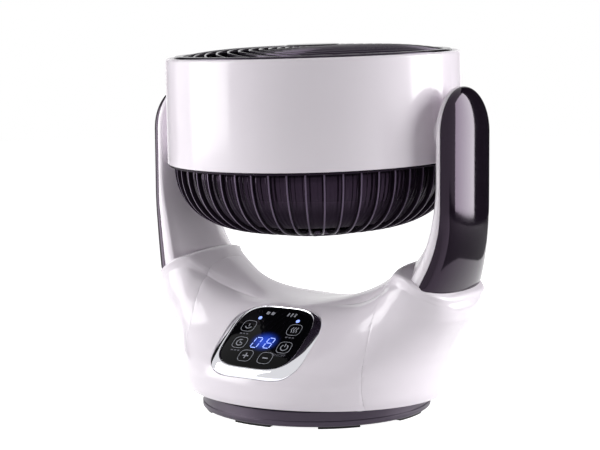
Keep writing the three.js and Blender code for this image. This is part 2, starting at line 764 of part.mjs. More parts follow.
function makeElectronics(yoke) {
  const top = powerBoardLow + boardThickness;
  const power = block(powerBoardLength, powerBoardWidth, boardThickness, 0, powerBoardY,
    top - boardThickness / 2)
    .add(boxOnBoard(transformerSize, -powerBoardLength / 5, top))
    .add(boxOnBoard(terminalSize, powerBoardLength / 4, top))
    .add(rod(capacitorRadius, top - solderSink, top + capacitorHeight, 16,
      capacitorRadius, powerBoardY + 2 * capacitorRadius));
  addPart(yoke, 'power_board', power, board);

  const bush = tube(glandBore, glandRadius, -6, 5.2, 16)
    .add(tube(glandBore, glandRadius + 2.5, 3.6, 6, 16));
  const face = bodyHalfDepth + glandOut;
  addPart(yoke, 'cord_gland', moved(spunX(bush, -90), 0, face, glandHeight), rubber);
}

// ---- control panel -----------------------------------------------------------------------------
function panelRing(halfWidth, halfHeight, shift, drop) {
  return oval(halfWidth, halfHeight, panelSquareness).map(([x, y]) => {
    const low = Math.max(-y / halfHeight, 0);
    const side = Math.abs(x) / halfWidth;
    const fall = drop * (0.25 + 0.35 * side * side + 0.75 * low * low);
    return new THREE.Vector3(x, y + shift, -fall);
  });
}

// a closed skin over rings whose last one joins on to the first
function hoop(rings) {
  const count = rings[0].length;
  const flat = new Float32Array(rings.flat().flatMap((p) => [p.x, p.y, p.z]));
  const faces = [];
  for (let k = 0; k < rings.length; k += 1) {
    const up = ((k + 1) % rings.length) * count;
    for (let j = 0; j < count; j += 1) {
      const next = (j + 1) % count;
      faces.push(k * count + j, k * count + next, up + next, k * count + j, up + next, up + j);
    }
  }
  const geometry = new THREE.BufferGeometry();
  geometry.setAttribute('position', new THREE.BufferAttribute(flat, 3));
  geometry.setIndex(faces);
  return closed(geometry);
}

function makePanel(yoke) {
  const panel = new THREE.Group();
  panel.position.set(0, panelY, panelZ);
  panel.rotation.x = radians(panelTilt);
  yoke.add(panel);

  const seat = -glassThickness - fit;
  const level = (ring, z) => ring.map((p) => new THREE.Vector3(p.x, p.y, z));
  const around = (margin) => panelRing(glassHalfWidth + margin, glassHalfHeight + margin, 0, 0);
  const rim = panelRing(bezelHalfWidth, bezelHalfHeight, bezelShift, bezelDrop);
  const bezel = hoop([
    level(around(-2.5), -bezelDepth), level(around(-2.5), seat), level(around(fit), seat),
    level(around(fit), 0.2), level(around(1.4), 0.6), rim, level(rim, -bezelDepth),
  ]);
  addPart(panel, 'panel_bezel', bezel, chrome);

  const glass = extruded(
    oval(glassHalfWidth, glassHalfHeight, panelSquareness), glassThickness, -glassThickness);
  addPart(panel, 'panel_glass', glass, gloss);
  const displayTop = -glassThickness - fit;
  addPart(panel, 'display_module', block(2 * displayHalfWidth, 2 * displayHalfHeight,
    displayThickness, 0, displayShift, displayTop - displayThickness / 2), black);
  const boardTop = displayTop - displayThickness - fit;
  addPart(panel, 'control_board', block(2 * boardHalfWidth, 2 * boardHalfHeight, boardThickness,
    0, 0, boardTop - boardThickness / 2), board);
}

// ---- fan head ----------------------------------------------------------------------------------
// all of it is in the head's own frame, with the tilt pivot at the origin
function acrossHead(radius, low, high, segments = 40) {
  return spunY(rod(radius, low, high, segments), 90);
}

function makeShroud(head) {
  const crest = shroudFrontRadius - rimRound;
  const corners = [[shroudRearRadius, shroudRear]];
  for (let i = 0; i <= 2; i += 1) {
    const angle = (i * Math.PI) / 4;
    corners.push([crest + rimRound * Math.cos(angle), shroudFront - rimRound + rimRound * Math.sin(angle)]);
  }
  corners.push(
    [mouthRadius + 1.5, shroudFront - 2], [mouthRadius, shroudFront - 3.5],
    [mouthRadius, shroudFront - rimDepth], [shroudFrontRadius - shroudWall, shroudFront - rimDepth - 2],
    [shroudRearRadius - shroudWall, shroudRear],
  );
  let shroud = turned(corners, 64);
  const inside = rod(shroudFrontRadius - shroudWall + fit, -shroudFront, shroudFront, 64);
  const reach = 4 * shroudRearRadius;
  const below = block(reach, reach, reach, 0, 0, shroudRear - reach / 2);
  const boss = acrossHead(pivotBossRadius, shroudRearRadius / 2, pivotBossX, 28)
    .subtract(inside).subtract(below);
  const shaftHole = acrossHead(pivotShaftRadius + fit, mouthRadius, pivotBossX + over, 24);
  for (const side of [-1, 1]) {
    shroud = shroud.add(mirrored(boss, side)).subtract(mirrored(shaftHole, side));
  }
  addPart(head, 'head_shroud', shroud, white);

  const flangeRadius = 12;
  const flangeTop = Math.sqrt((shroudFrontRadius - shroudWall) ** 2 - flangeRadius ** 2) - 1;
  const end = armInnerX + armWall + bushFlange + 3;
  const shaft = acrossHead(pivotShaftRadius, flangeTop - over, end, 24)
    .add(acrossHead(flangeRadius, flangeTop - 3, flangeTop, 20));
  for (const [word, side] of [['left', -1], ['right', 1]]) {
    addPart(head, `pivot_shaft_${word}`, mirrored(shaft, side), steel);
  }
}

function grilleTop(radius) {
  const share = 1 - (radius / grilleRingInner) ** crownSquareness;
  return shroudFront + grilleRingProud + (grilleCrown - grilleRingProud) * share;
}

function spiralRib(start) {
  const steps = 5;
  const from = frontHubRadius - ribEnd;
  const to = grilleRingInner + ribEnd;
  const rings = [];
  for (let i = 0; i <= steps; i += 1) {
    const share = i / steps;
    const radius = mix(from, to, share);
    const angle = start + radians(spiralSweep) * share;
    const lead = Math.atan2(radius * radians(spiralSweep), to - from);
    const along = angle + lead;
    const [nx, ny] = [-Math.sin(along) * spiralRibWidth / 2, Math.cos(along) * spiralRibWidth / 2];
    const [x, y] = [radius * Math.cos(angle), radius * Math.sin(angle)];
    const top = grilleTop(radius) - ribSink;
    rings.push([
      new THREE.Vector3(x - nx, y - ny, top - spiralRibDepth),
      new THREE.Vector3(x + nx, y + ny, top - spiralRibDepth),
      new THREE.Vector3(x + nx, y + ny, top), new THREE.Vector3(x - nx, y - ny, top),
    ]);
  }
  return skin(rings);
}

function makeFrontGrille(head) {
  const ringOuter = mouthRadius - fit;
  const ringTop = shroudFront + grilleRingProud;
  let grille = turned([
    [grilleRingInner, shroudFront - rimDepth], [ringOuter, shroudFront - rimDepth],
    [ringOuter, ringTop - 1], [ringOuter - 1.5, ringTop], [grilleRingInner, ringTop],
  ], 48);
  const hubTop = grilleTop(frontHubRadius - ribEnd);
  grille = grille.add(rod(frontHubRadius, hubTop - spiralRibDepth - 2 * ribSink, hubTop, 30));
  for (let i = 0; i < spiralRibs; i += 1) {
    grille = grille.add(spiralRib((i * 2 * Math.PI) / spiralRibs));
  }
  addPart(head, 'front_grille', grille, black);

  const cap = turned([
    [0, hubTop + fit], [frontHubRadius - 2, hubTop + fit], [frontHubRadius - 3, hubTop + 0.9],
    [frontHubRadius / 2, hubTop + 1.3], [0, hubTop + 1.5],
  ], 30);
  addPart(head, 'front_hub_cap', cap, gloss);
}

// point on the outside of the rear dome, from the band (0) to the flat round the hub (1)
function domePoint(share, inset) {
  const angle = (share * Math.PI) / 2;
  const flat = rearHubRadius + 2;
  const power = 2 / domeSquareness;
  const r = flat + (rearShoulder - inset - flat) * Math.cos(angle) ** power;
  const depth = -shroudRear + (rearDepth - inset + shroudRear) * Math.sin(angle) ** power;
  return [r, -depth];
}

function rearFin() {
  const steps = 4;
  const outline = [];
  for (let i = 0; i <= steps; i += 1) outline.push(domePoint(i / steps, ribSink));
  for (let i = steps; i >= 0; i -= 1) {
    outline.push(domePoint(i / steps, mix(rearFinDepth, hubPlate - ribSink, i / steps)));
  }
  outline[0][1] = shroudRear - fit - ribSink;
  outline[outline.length - 1][1] = outline[0][1];
  return spunX(extruded(outline, rearFinWidth, -rearFinWidth / 2), 90);
}

function makeRearGrille(head) {
  const bandTop = shroudRear - fit;
  let grille = tube(bandInner, shroudRearRadius - 1, bandTop - bandHeight, bandTop, rearFins);
  const hubOuter = rearHubRadius + 2 + 2 * ribEnd;
  grille = grille.add(tube(hubBore, hubOuter, -rearDepth, -rearDepth + hubPlate, rearFins));
  const fin = rearFin();
  for (let i = 0; i < rearFins; i += 1) {
    grille = grille.add(spunZ(fin, ((i + 0.5) * 360) / rearFins));
  }
  const capTop = -rearDepth - fit;
  let cap = turned([
    [0, capTop - hubCapThickness], [rearHubRadius - 1, capTop - hubCapThickness],
    [rearHubRadius, capTop - hubCapThickness + 1], [rearHubRadius, capTop], [0, capTop],
  ], 30);
  for (let i = 0; i < hubScrews; i += 1) {
    const [x, y] = hubScrewPlace(i);
    const hole = rod(screwRadius + fit, -2 * rearDepth, -podFloor, 8, x, y);
    grille = grille.subtract(hole);
    cap = cap.subtract(hole);
  }
  addPart(head, 'rear_grille', grille, black);
  addPart(head, 'rear_hub_cap', cap, black);
}

function hubScrewPlace(i) {
  const angle = ((i + 0.5) * 2 * Math.PI) / hubScrews;
  return [hubScrewCircle * Math.cos(angle), hubScrewCircle * Math.sin(angle)];
}

// the fine screen right behind the fins of the rear grille
function makeDustScreen(head) {
  const gap = rearFinDepth + fit;
  const outline = [];
  const steps = 4;
  for (let i = 0; i <= steps; i += 1) outline.push(domePoint(i / steps, gap));
  for (let i = steps; i >= 0; i -= 1) outline.push(domePoint(i / steps, gap + screenThickness));
  const top = shroudRear - fit - bandHeight - fit;
  for (const end of [outline[0], outline[outline.length - 1]]) {
    end[0] -= screenThickness;
    end[1] = top;
  }
  addPart(head, 'dust_screen', turned(outline, 30), black);
}

function makeMotor(head) {
  const floor = -podFloor;
  let pod = turned([
    [fanShaftRadius + 2, floor], [podLowRadius, floor], [podTopRadius - 2, (floor + podTop) / 2],
    [podTopRadius, podTop], [podTopRadius - podWall, podTop],
    [podTopRadius - podWall - 2, (floor + podTop) / 2], [podLowRadius - podWall, floor + podWall],
    [fanShaftRadius + 2, floor + podWall],
  ], 30);
  for (let i = 0; i < hubScrews; i += 1) {
    const [x, y] = hubScrewPlace(i);
    const low = -rearDepth - 2 * fit - hubCapThickness;
    pod = pod.subtract(rod(screwRadius + fit, low, floor + podWall + over, 8, x, y));
    const screw = rod(screwHeadRadius, low - screwHeadHeight / 2, low, 8, x, y)
      .add(rod(screwRadius, low - over / 2, floor + podWall, 8, x, y));
    addPart(head, `hub_screw_${i + 1}`, screw, steel);
  }
  addPart(head, 'motor_pod', pod, gloss);

  const low = floor + podWall + fit;
  const bore = fanShaftRadius + fit;
  const motor = turned([
    [bore, low], [fanMotorRadius - 3, low], [fanMotorRadius, low + 3],
    [fanMotorRadius, low + fanMotorLength - 3], [fanMotorRadius - 3, low + fanMotorLength],
    [fanMotorRadius / 2, low + fanMotorLength], [fanMotorRadius / 2, low + fanMotorLength + 4],
    [bore, low + fanMotorLength + 4],
  ], 20);
  addPart(head, 'fan_motor', motor, steel);

  const ductFlange = shroudFrontRadius - shroudWall - 1;
  const duct = turned([
    [ductRadius - ductWall, shroudRear], [ductFlange, shroudRear],
    [ductFlange, shroudRear + ductWall], [ductRadius, shroudRear + ductWall],
    [ductRadius, ductTop], [ductRadius - ductWall, ductTop],
  ], 36);
  addPart(head, 'inner_duct', duct, gloss);
}

function blade(start) {
  const rings = [];
  const spanSteps = 3;
  for (let k = 0; k <= spanSteps; k += 1) {
    const share = k / spanSteps;
    const radius = mix(impellerHubRadius - 2, impellerTipRadius, share);
    const sweep = radians(mix(62, 34, share));
    const swept = start + radians(14) * share;
    const ring = [];
    const steps = 2;
    for (const [from, to, rise] of [[0, steps, 1], [steps, 0, -1]]) {
      for (let i = from; i !== to + rise; i += rise) {
        const chord = i / steps;
        const angle = swept + sweep * (chord - 0.5);
        const bow = 3 * Math.sin(chord * Math.PI);
        const z = mix(impellerRear + 4, impellerFront - 4, chord) + bow + (rise * bladeThickness) / 2;
        ring.push(new THREE.Vector3(radius * Math.cos(angle), radius * Math.sin(angle), z));
      }
    }
    rings.push(ring);
  }
  return skin(rings);
}

function makeRotor(head) {
  const rotor = new THREE.Group();
  head.add(rotor);
  const bore = fanShaftRadius + fit;
  const hub = impellerHubRadius;
  let impeller = turned([
    [bore, impellerFront], [hub - 5, impellerFront], [hub, impellerFront - 5], [hub, impellerRear],
    [hub - 2.5, impellerRear], [hub - 2.5, impellerFront - 6], [hub - 6, impellerFront - 3],
    [bore + 5, impellerFront - 3], [bore + 5, impellerRear + 8], [bore, impellerRear + 8],
  ], 14);
  for (let i = 0; i < bladeCount; i += 1) {
    impeller = impeller.add(blade((i * 2 * Math.PI) / bladeCount));
  }
  addPart(rotor, 'impeller', impeller, black);
  const shaftTop = impellerFront + 8;
  const low = -podFloor + podWall + fit;
  addPart(rotor, 'fan_shaft', rod(fanShaftRadius, low, shaftTop, 14), steel);
  const nutLow = impellerFront + fit;
  const nut = turned([
    [bore, nutLow], [spinnerRadius, nutLow], [spinnerRadius - 2, nutLow + 8],
    [spinnerRadius / 2, nutLow + 11], [0, nutLow + 12], [0, shaftTop + fit], [bore, shaftTop + fit],
  ], 20);
  addPart(rotor, 'spinner_nut', nut, black);
}

function makeHead(yoke) {
  const head = new THREE.Group();
  head.position.z = pivotHeight;
  head.rotation.x = radians(headLean);
  yoke.add(head);
  makeShroud(head);
  makeFrontGrille(head);
  makeRearGrille(head);
  makeDustScreen(head);
  makeMotor(head);
  makeRotor(head);
}

makeBase();
const swinging = new THREE.Group();
model.add(swinging);
makeBodyShells(swinging);
makePlate(swinging);
makeSwingDrive(swinging);
makeElectronics(swinging);
makePanel(swinging);
makeArms(swinging);
makeHead(swinging);

export default model;
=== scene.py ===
"""Desk air circulator: a drum-shaped fan head between the arms of a saddle-shaped body with a touch
panel, on a round base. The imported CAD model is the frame; the pieces that show are modelled here
and stand for their CAD nodes. Sizes are in millimetres and become metres through MM."""
import math
from contextlib import contextmanager

import bpy
from mathutils import Euler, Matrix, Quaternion, Vector


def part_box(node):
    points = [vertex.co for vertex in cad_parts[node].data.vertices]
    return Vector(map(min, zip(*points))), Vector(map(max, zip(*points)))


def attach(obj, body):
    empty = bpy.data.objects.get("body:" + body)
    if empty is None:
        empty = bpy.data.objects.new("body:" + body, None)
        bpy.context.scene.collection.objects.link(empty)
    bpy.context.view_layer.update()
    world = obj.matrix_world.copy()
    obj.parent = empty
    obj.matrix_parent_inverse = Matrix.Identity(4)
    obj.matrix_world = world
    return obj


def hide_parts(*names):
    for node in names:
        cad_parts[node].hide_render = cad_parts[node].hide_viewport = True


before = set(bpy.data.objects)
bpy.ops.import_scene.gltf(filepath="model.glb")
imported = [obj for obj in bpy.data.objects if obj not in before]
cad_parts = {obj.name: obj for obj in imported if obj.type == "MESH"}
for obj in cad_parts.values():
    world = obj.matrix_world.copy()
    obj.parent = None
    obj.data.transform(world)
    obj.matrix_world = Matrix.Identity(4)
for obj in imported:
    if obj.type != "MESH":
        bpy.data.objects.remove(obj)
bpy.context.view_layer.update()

MM = 0.001
scene = bpy.context.scene
scene.view_settings.view_transform = "Standard"

# ---- The view --------------------------------------------------------------------------------
# A long lens on the object's front right, a little higher than the panel. The picture is 600 x 450.
view_turn = math.radians(34.65)
view_height = math.radians(5.93)
view_roll = math.radians(-0.44)
view_point = Vector((-11.3, -7.8, 158.9)) * MM
view_distance = 1355.3 * MM

view_back = Vector((
    math.sin(view_turn) * math.cos(view_height),
    -math.cos(view_turn) * math.cos(view_height),
    math.sin(view_height),
))
level_view = (-view_back).to_track_quat("-Z", "Y")
bpy.ops.object.camera_add(location=view_point + view_back * view_distance)
camera = bpy.context.object
camera.name = "photo_camera"
camera.rotation_mode = "QUATERNION"
camera.rotation_quaternion = level_view @ Quaternion((0, 0, 1), view_roll)
camera.data.sensor_width = 36
camera.data.lens = 92.94
scene.camera = camera

# ---- The studio ------------------------------------------------------------------------------
# A white floor and white surroundings. Soft boxes light the left, the right and the front; one
# shows in the gloss alone, as its bright stripes, and dark cards give the gloss its dark parts.
ambient_level = 0.09
floor_level = 0.93


def wired(node, inputs):
    """Gives inputs their values, or a link where the value is another node's output."""
    for name, value in inputs.items():
        if isinstance(value, bpy.types.NodeSocket):
            node.id_data.links.new(value, node.inputs[name])
        else:
            node.inputs[name].default_value = value
    return node


def added(tree, kind, inputs=None, **settings):
    """A new shader node with its settings and inputs."""
    node = tree.nodes.new("ShaderNode" + kind)
    for name, value in settings.items():
        setattr(node, name, value)
    return wired(node, inputs or {})


def background_rays(tree):
    """Value 1 on rays that should see the white background: from the camera, in gloss, in glass."""
    path = added(tree, "LightPath")
    mask = path.outputs["Is Camera Ray"]
    for name in ("Is Glossy Ray", "Is Transmission Ray"):
        both = added(tree, "Math", {0: mask, 1: path.outputs[name]}, operation="MAXIMUM")
        mask = both.outputs[0]
    return mask


def matt(name, grey):
    """A grey material without gloss."""
    material = bpy.data.materials.new(name)
    material.use_nodes = True
    wired(material.node_tree.nodes["Principled BSDF"],
          {"Base Color": (grey, grey, grey, 1), "Specular IOR Level": 0})
    return material


world = bpy.data.worlds.new("white_surroundings")
world.use_nodes = True
scene.world = world
level = added(world.node_tree, "MapRange", {
    "Value": background_rays(world.node_tree), "To Min": ambient_level, "To Max": 1})
wired(world.node_tree.nodes["Background"],
      {"Color": (1, 1, 1, 1), "Strength": level.outputs["Result"]})

bpy.ops.object.select_all(action="DESELECT")
bpy.ops.mesh.primitive_circle_add(vertices=64, radius=5, fill_type="NGON")
floor = bpy.context.object
floor.name = "floor"
paper = matt("white_paper", 0.86)
tree = paper.node_tree
paper_shader = wired(tree.nodes["Principled BSDF"], {"Roughness": 0.9})
paper_level = added(tree, "Math", {0: background_rays(tree), 1: floor_level}, operation="MULTIPLY")
own_white = added(tree, "Emission", {"Strength": paper_level.outputs[0]})
both_whites = added(tree, "AddShader", {0: paper_shader.outputs[0], 1: own_white.outputs[0]})
wired(tree.nodes["Material Output"], {"Surface": both_whites.outputs[0]})
floor.data.materials.append(paper)


def bearing(turn, distance, height):
    """The place at a bearing from the front, in degrees to the right."""
    angle = math.radians(turn)
    return Vector((math.sin(angle) * distance, -math.cos(angle) * distance, height))


def soft_box(name, turn, height, distance, wide, tall, power, shows_in="diffuse glossy", aim=None):
    """A rectangular lamp that faces the fan's axis, at its own height unless aim gives another."""
    place = bearing(turn, distance, height)
    bpy.ops.object.light_add(type="AREA", location=place)
    lamp = bpy.context.object
    lamp.name = name
    lamp.data.shape = "RECTANGLE"
    lamp.data.size, lamp.data.size_y = wide, tall
    lamp.data.energy = power
    facing = Vector((0, 0, height if aim is None else aim)) - place
    lamp.rotation_mode = "QUATERNION"
    lamp.rotation_quaternion = facing.to_track_quat("-Z", "Y")
    lamp.visible_diffuse = "diffuse" in shows_in
    lamp.visible_glossy = "glossy" in shows_in


soft_box("left_soft_box", -50, 0.62, 1.3, 0.9, 1.25, 18)
soft_box("right_soft_box", 106, 0.64, 1.4, 0.9, 1.2, 14.5, shows_in="diffuse")
soft_box("right_rear_soft_box", 140, 0.64, 1.4, 0.9, 1.2, 13.5, shows_in="diffuse")
soft_box("stripe_soft_box", 127, 0.64, 1.4, 0.84, 1.2, 23, shows_in="glossy")
soft_box("front_soft_box", 25, 0.4, 1.3, 0.8, 0.6, 1.0, shows_in="diffuse")
soft_box("front_top_soft_box", 0, 1.4, 0.72, 0.8, 0.5, 1.8, shows_in="diffuse", aim=0)

# Two tall black cards behind the fan and a dark one on the floor to its right, which only light
# and gloss see. The floor card is given by the bearings and distances of its corners.
card_distance, card_middle, card_tall = 1.6, 0.9, 1.8
flag_black = matt("flag_black", 0.02)
for name, turn, wide in (("right_flag", 165, 1.25), ("left_flag", -108, 0.8)):
    bpy.ops.object.select_all(action="DESELECT")
    bpy.ops.mesh.primitive_plane_add(size=1)
    flag = bpy.context.object
    flag.name = name
    flag.location = bearing(turn, card_distance, card_middle)
    flag.rotation_euler = (math.pi / 2, 0, math.radians(turn))
    flag.scale = (wide, card_tall, 1)
    flag.data.materials.append(flag_black)
    flag.visible_camera = False


def meshed(name, points, faces):
    """A new piece from points, in metres, and faces."""
    mesh = bpy.data.meshes.new(name)
    mesh.from_pydata(points, [], faces)
    piece = bpy.data.objects.new(name, mesh)
    scene.collection.objects.link(piece)
    return piece


card_corners = ((85, 0.5), (120, 0.5), (150, 0.52), (165, 0.64), (180, 1.0), (180, 2.8), (85, 2.8))
floor_card = meshed("floor_card", [bearing(turn, far, 0.001) for turn, far in card_corners],
                    [tuple(range(len(card_corners)))])
floor_card.data.materials.append(matt("card_grey", 0.3))
floor_card.visible_camera = floor_card.visible_shadow = False

# ---- Base ------------------------------------------------------------------------------------
# A dark grey moulded ring that the body swings on, with a step round its lower edge. The plate
# under it closes it and is held by screws from below.
base_low, base_high = (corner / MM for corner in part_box("base_housing"))
cover_low, cover_high = (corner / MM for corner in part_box("base_bottom_cover"))
thrust_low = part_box("thrust_ring")[0] / MM


def only(piece, *others):
    """Selects these pieces alone and makes the first one active."""
    bpy.ops.object.select_all(action="DESELECT")
    for part in (piece, *others):
        part.select_set(True)
    bpy.context.view_layer.objects.active = piece


@contextmanager
def editing(piece):
    """Edit mode on this piece alone, with its whole mesh selected."""
    only(piece)
    bpy.ops.object.mode_set(mode="EDIT")
    bpy.ops.mesh.select_all(action="SELECT")
    yield
    bpy.ops.object.mode_set(mode="OBJECT")


def tidied(piece, gap=0.01):
    """Merges points that lie together and turns all faces outwards."""
    with editing(piece):
        bpy.ops.mesh.remove_doubles(threshold=gap * MM)
        bpy.ops.mesh.normals_make_consistent(inside=False)
    return piece


def worked(piece, kind, **settings):
    """Adds one modifier and applies it at once."""
    modifier = piece.modifiers.new(kind.lower(), kind)
    for name, value in settings.items():
        setattr(modifier, name, value)
    only(piece)
    bpy.ops.object.modifier_apply(modifier=modifier.name)
    return piece


def smoothed(piece, angle):
    """Shades the piece smooth, apart from the edges that are sharper than the angle."""
    only(piece)
    bpy.ops.object.shade_smooth_by_angle(angle=math.radians(angle))
    return piece


def softened(piece, width, segments=2, angle=40):
    """Rounds the edges that are sharper than the angle, then shades the rest smooth."""
    worked(piece, "BEVEL", width=width * MM, segments=segments, limit_method="ANGLE",
           angle_limit=math.radians(angle), use_clamp_overlap=True, harden_normals=False)
    return smoothed(piece, angle)


def turned(name, section, steps=128):
    """Draws a closed half section, a list of (radius, height), and spins it round the Z axis."""
    bpy.ops.object.select_all(action="DESELECT")
    bpy.ops.mesh.primitive_plane_add(size=MM)
    piece = bpy.context.object
    piece.name = piece.data.name = name
    points = [Vector((radius, 0, height)) * MM for radius, height in section]
    with editing(piece):
        bpy.ops.mesh.merge(type="CENTER")
        bpy.ops.transform.translate(value=points[0])
        for before, after in zip(points, points[1:] + points[:1]):
            bpy.ops.mesh.extrude_vertices_move(TRANSFORM_OT_translate={"value": after - before})
        bpy.ops.mesh.select_all(action="SELECT")
        bpy.ops.mesh.remove_doubles(threshold=0.01 * MM)
        bpy.ops.mesh.spin(steps=steps, angle=2 * math.pi, center=(0, 0, 0), axis=(0, 0, 1))
    return tidied(piece)


def linear(code):
    """A colour written as a web code, as the linear colour that shaders take."""
    parts = [int(code[i:i + 2], 16) / 255 for i in (0, 2, 4)]
    return (*[c / 12.92 if c < 0.04045 else ((c + 0.055) / 1.055) ** 2.4 for c in parts], 1)


def moulded_surface_group():
    """Shared effect: a slightly uneven moulded surface. Cloudy colour and gloss, and fine grain."""
    group = bpy.data.node_groups.new("moulded_surface", "ShaderNodeTree")
    face = group.interface
    face.new_socket(name="Color", in_out="INPUT", socket_type="NodeSocketColor")
    for name in ("Mottle", "Roughness", "Roughness Spread", "Cloud Scale", "Grain Scale"):
        face.new_socket(name=name, in_out="INPUT", socket_type="NodeSocketFloat")
    face.new_socket(name="Color", in_out="OUTPUT", socket_type="NodeSocketColor")
    for name in ("Roughness", "Height"):
        face.new_socket(name=name, in_out="OUTPUT", socket_type="NodeSocketFloat")
    inside, outside = group.nodes.new("NodeGroupInput"), group.nodes.new("NodeGroupOutput")
    given = inside.outputs
    place = added(group, "TexCoord").outputs["Object"]
    cloud = added(group, "TexNoise", {"Vector": place, "Scale": given["Cloud Scale"], "Detail": 4})
    grain = added(group, "TexNoise", {"Vector": place, "Scale": given["Grain Scale"], "Detail": 2})
    centred = added(group, "Math", {0: cloud.outputs["Fac"], 1: 0.5}, operation="SUBTRACT")
    shade = added(group, "Math", {0: centred.outputs[0], 1: given["Mottle"], 2: 1},
                  operation="MULTIPLY_ADD")
    tint = added(group, "VectorMath", {0: given["Color"], "Scale": shade.outputs[0]},
                 operation="SCALE")
    rough = added(group, "Math", {
        0: centred.outputs[0], 1: given["Roughness Spread"], 2: given["Roughness"]},
        operation="MULTIPLY_ADD")
    wired(outside, {"Color": tint.outputs[0], "Roughness": rough.outputs[0],
                    "Height": grain.outputs["Fac"]})
    return group


moulded_surface = moulded_surface_group()


def moulded(name, colour, rough, spread=0.06, mottle=0.06, cloud=28, grain=900, depth=0.02,
            metal=0.0, gloss=0.5, sheen="ffffff"):
    """A material on the moulded surface. depth is the grain's height in millimetres."""
    material = bpy.data.materials.new(name)
    material.use_nodes = True
    tree = material.node_tree
    surface = added(tree, "Group", {
        "Color": linear(colour), "Mottle": mottle, "Roughness": rough, "Roughness Spread": spread,
        "Cloud Scale": cloud, "Grain Scale": grain}, node_tree=moulded_surface, name="surface")
    bump = added(tree, "Bump", {
        "Strength": 1, "Distance": depth * MM, "Height": surface.outputs["Height"]})
    wired(tree.nodes["Principled BSDF"], {
        "Metallic": metal, "Specular IOR Level": gloss, "Specular Tint": linear(sheen),
        "Base Color": surface.outputs["Color"], "Roughness": surface.outputs["Roughness"],
        "Normal": bump.outputs["Normal"]})
    return material


def finished(piece, material):
    """Gives the piece this one material."""
    piece.data.materials.clear()
    piece.data.materials.append(material)
    for face in piece.data.polygons:
        face.material_index = 0
    return piece


base_grey = moulded("base_grey_plastic", "2f2b34", 0.42, mottle=0.12, depth=0.05, sheen="f8e0ff")
base_radius = base_high.x
housing = turned("base_ring", [
    (base_radius - 2.5, base_low.z), (base_radius - 0.9, base_low.z), (base_radius, base_low.z + 0.9),
    (base_radius, base_low.z + 4.4), (base_radius - 0.7, base_low.z + 5.0),
    (base_radius - 0.7, thrust_low.z - 1.6), (base_radius - 1.9, thrust_low.z - 0.3),
    (19, thrust_low.z - 0.3), (19, base_high.z), (9, base_high.z),
    (9, thrust_low.z - 2.8), (base_radius - 2.5, thrust_low.z - 2.8),
])
softened(housing, 0.25)
finished(housing, base_grey)
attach(housing, "base")
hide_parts("base_housing")

under_black = moulded("underside_black_plastic", "1d1b20", 0.55, mottle=0.15, depth=0.08)
cover_radius = cover_high.x
rings = [(9, cover_high.z), (9, cover_low.z), (24, cover_low.z)]
for groove in (30, 44, 58, 72):
    rings += [(groove, cover_low.z), (groove + 0.6, cover_low.z + 0.8),
              (groove + 2.4, cover_low.z + 0.8), (groove + 3, cover_low.z)]
rings += [(cover_radius, cover_low.z), (cover_radius, cover_high.z)]
bottom_plate = turned("base_plate", rings)
softened(bottom_plate, 0.2, angle=30)
finished(bottom_plate, under_black)
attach(bottom_plate, "base")
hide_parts("base_bottom_cover")

# ---- Feet ------------------------------------------------------------------------------------
# Eight black rubber pads round the edge of the base's underside. Each is pressed into a shallow
# seat, and the fan stands on them.
rubber = moulded("foot_rubber", "161616", 0.8, mottle=0.25, grain=1500, depth=0.08, gloss=0.3)


def finish_nodes(material, *starts):
    """Gives this material to the CAD nodes whose names start with any of these."""
    for name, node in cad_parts.items():
        if name.startswith(starts):
            finished(node, material)


finish_nodes(rubber, "foot_")

# ---- Swing bearing and drive -----------------------------------------------------------------
# Natural acetal: a thrust ring on the base, a fixed gear on its boss and the pinion that the
# geared motor drives. A ribbed grey plate carries the motor and the body.
acetal = moulded("natural_acetal", "dbd7cc", 0.45, mottle=0.05, depth=0.03)
zinc = moulded("zinc_plated_steel", "a9a9ae", 0.32, spread=0.2, mottle=0.2, metal=1.0, depth=0.03)
motor_can = moulded("motor_can_steel", "b4b4b8", 0.36, spread=0.15, mottle=0.12, metal=1.0)
finish_nodes(acetal, "thrust_ring", "sun_gear", "drive_pinion", "pivot_bush_")
finish_nodes(zinc, "base_screw_", "body_screw_", "pivot_shaft_", "fan_shaft")
finish_nodes(motor_can, "swing_motor", "fan_motor")
finish_nodes(base_grey, "yoke_plate")

# ---- Boards ----------------------------------------------------------------------------------
# Green glass-fibre boards: the power supply at the back of the body and the touch board under the
# panel, with the dark block of the display on it. Both are inside the body.
laminate = moulded("board_laminate", "1f5c36", 0.38, mottle=0.35, cloud=160, depth=0.03)
finish_nodes(laminate, "power_board", "control_board")
finish_nodes(under_black, "display_module")

# ---- Body ------------------------------------------------------------------------------------
# Two glossy white shells that meet at a fine seam. From a round lower edge the skin runs in over
# the sloping front to a saddle under the head and swells out to a collar under each arm.
body_length, body_depth = 117, 104.6       # half sizes at the lower edge
collar_length, collar_depth = 150, 57      # half sizes at the collars
body_bottom, saddle_bottom = 17, 96
saddle_radius = 157
collar_edge, collar_height, collar_slope = 104, 136.5, 0.58
shoulder_softness = 3
front_waist = 0.66                         # the front's share of the waist
crest_waist = 27                           # drawn in from the crest's own edge
front_fade, back_fade = (0.57, 0.86), (0.66, 0.84)     # where the waist ends beside a collar
corner_fullness = 2.6                      # squarer front corners under the collars
crest_middle = 0.36                        # the crest's half depth at the middle, a share
crest_round, back_round = 13, 0.7          # the crest's edge falls this much; the back's share
body_wall = 2.6
seam_side, seam_back, seam_gap = 92, 14, 0.1
body_columns, rings_per_level = 200, 7

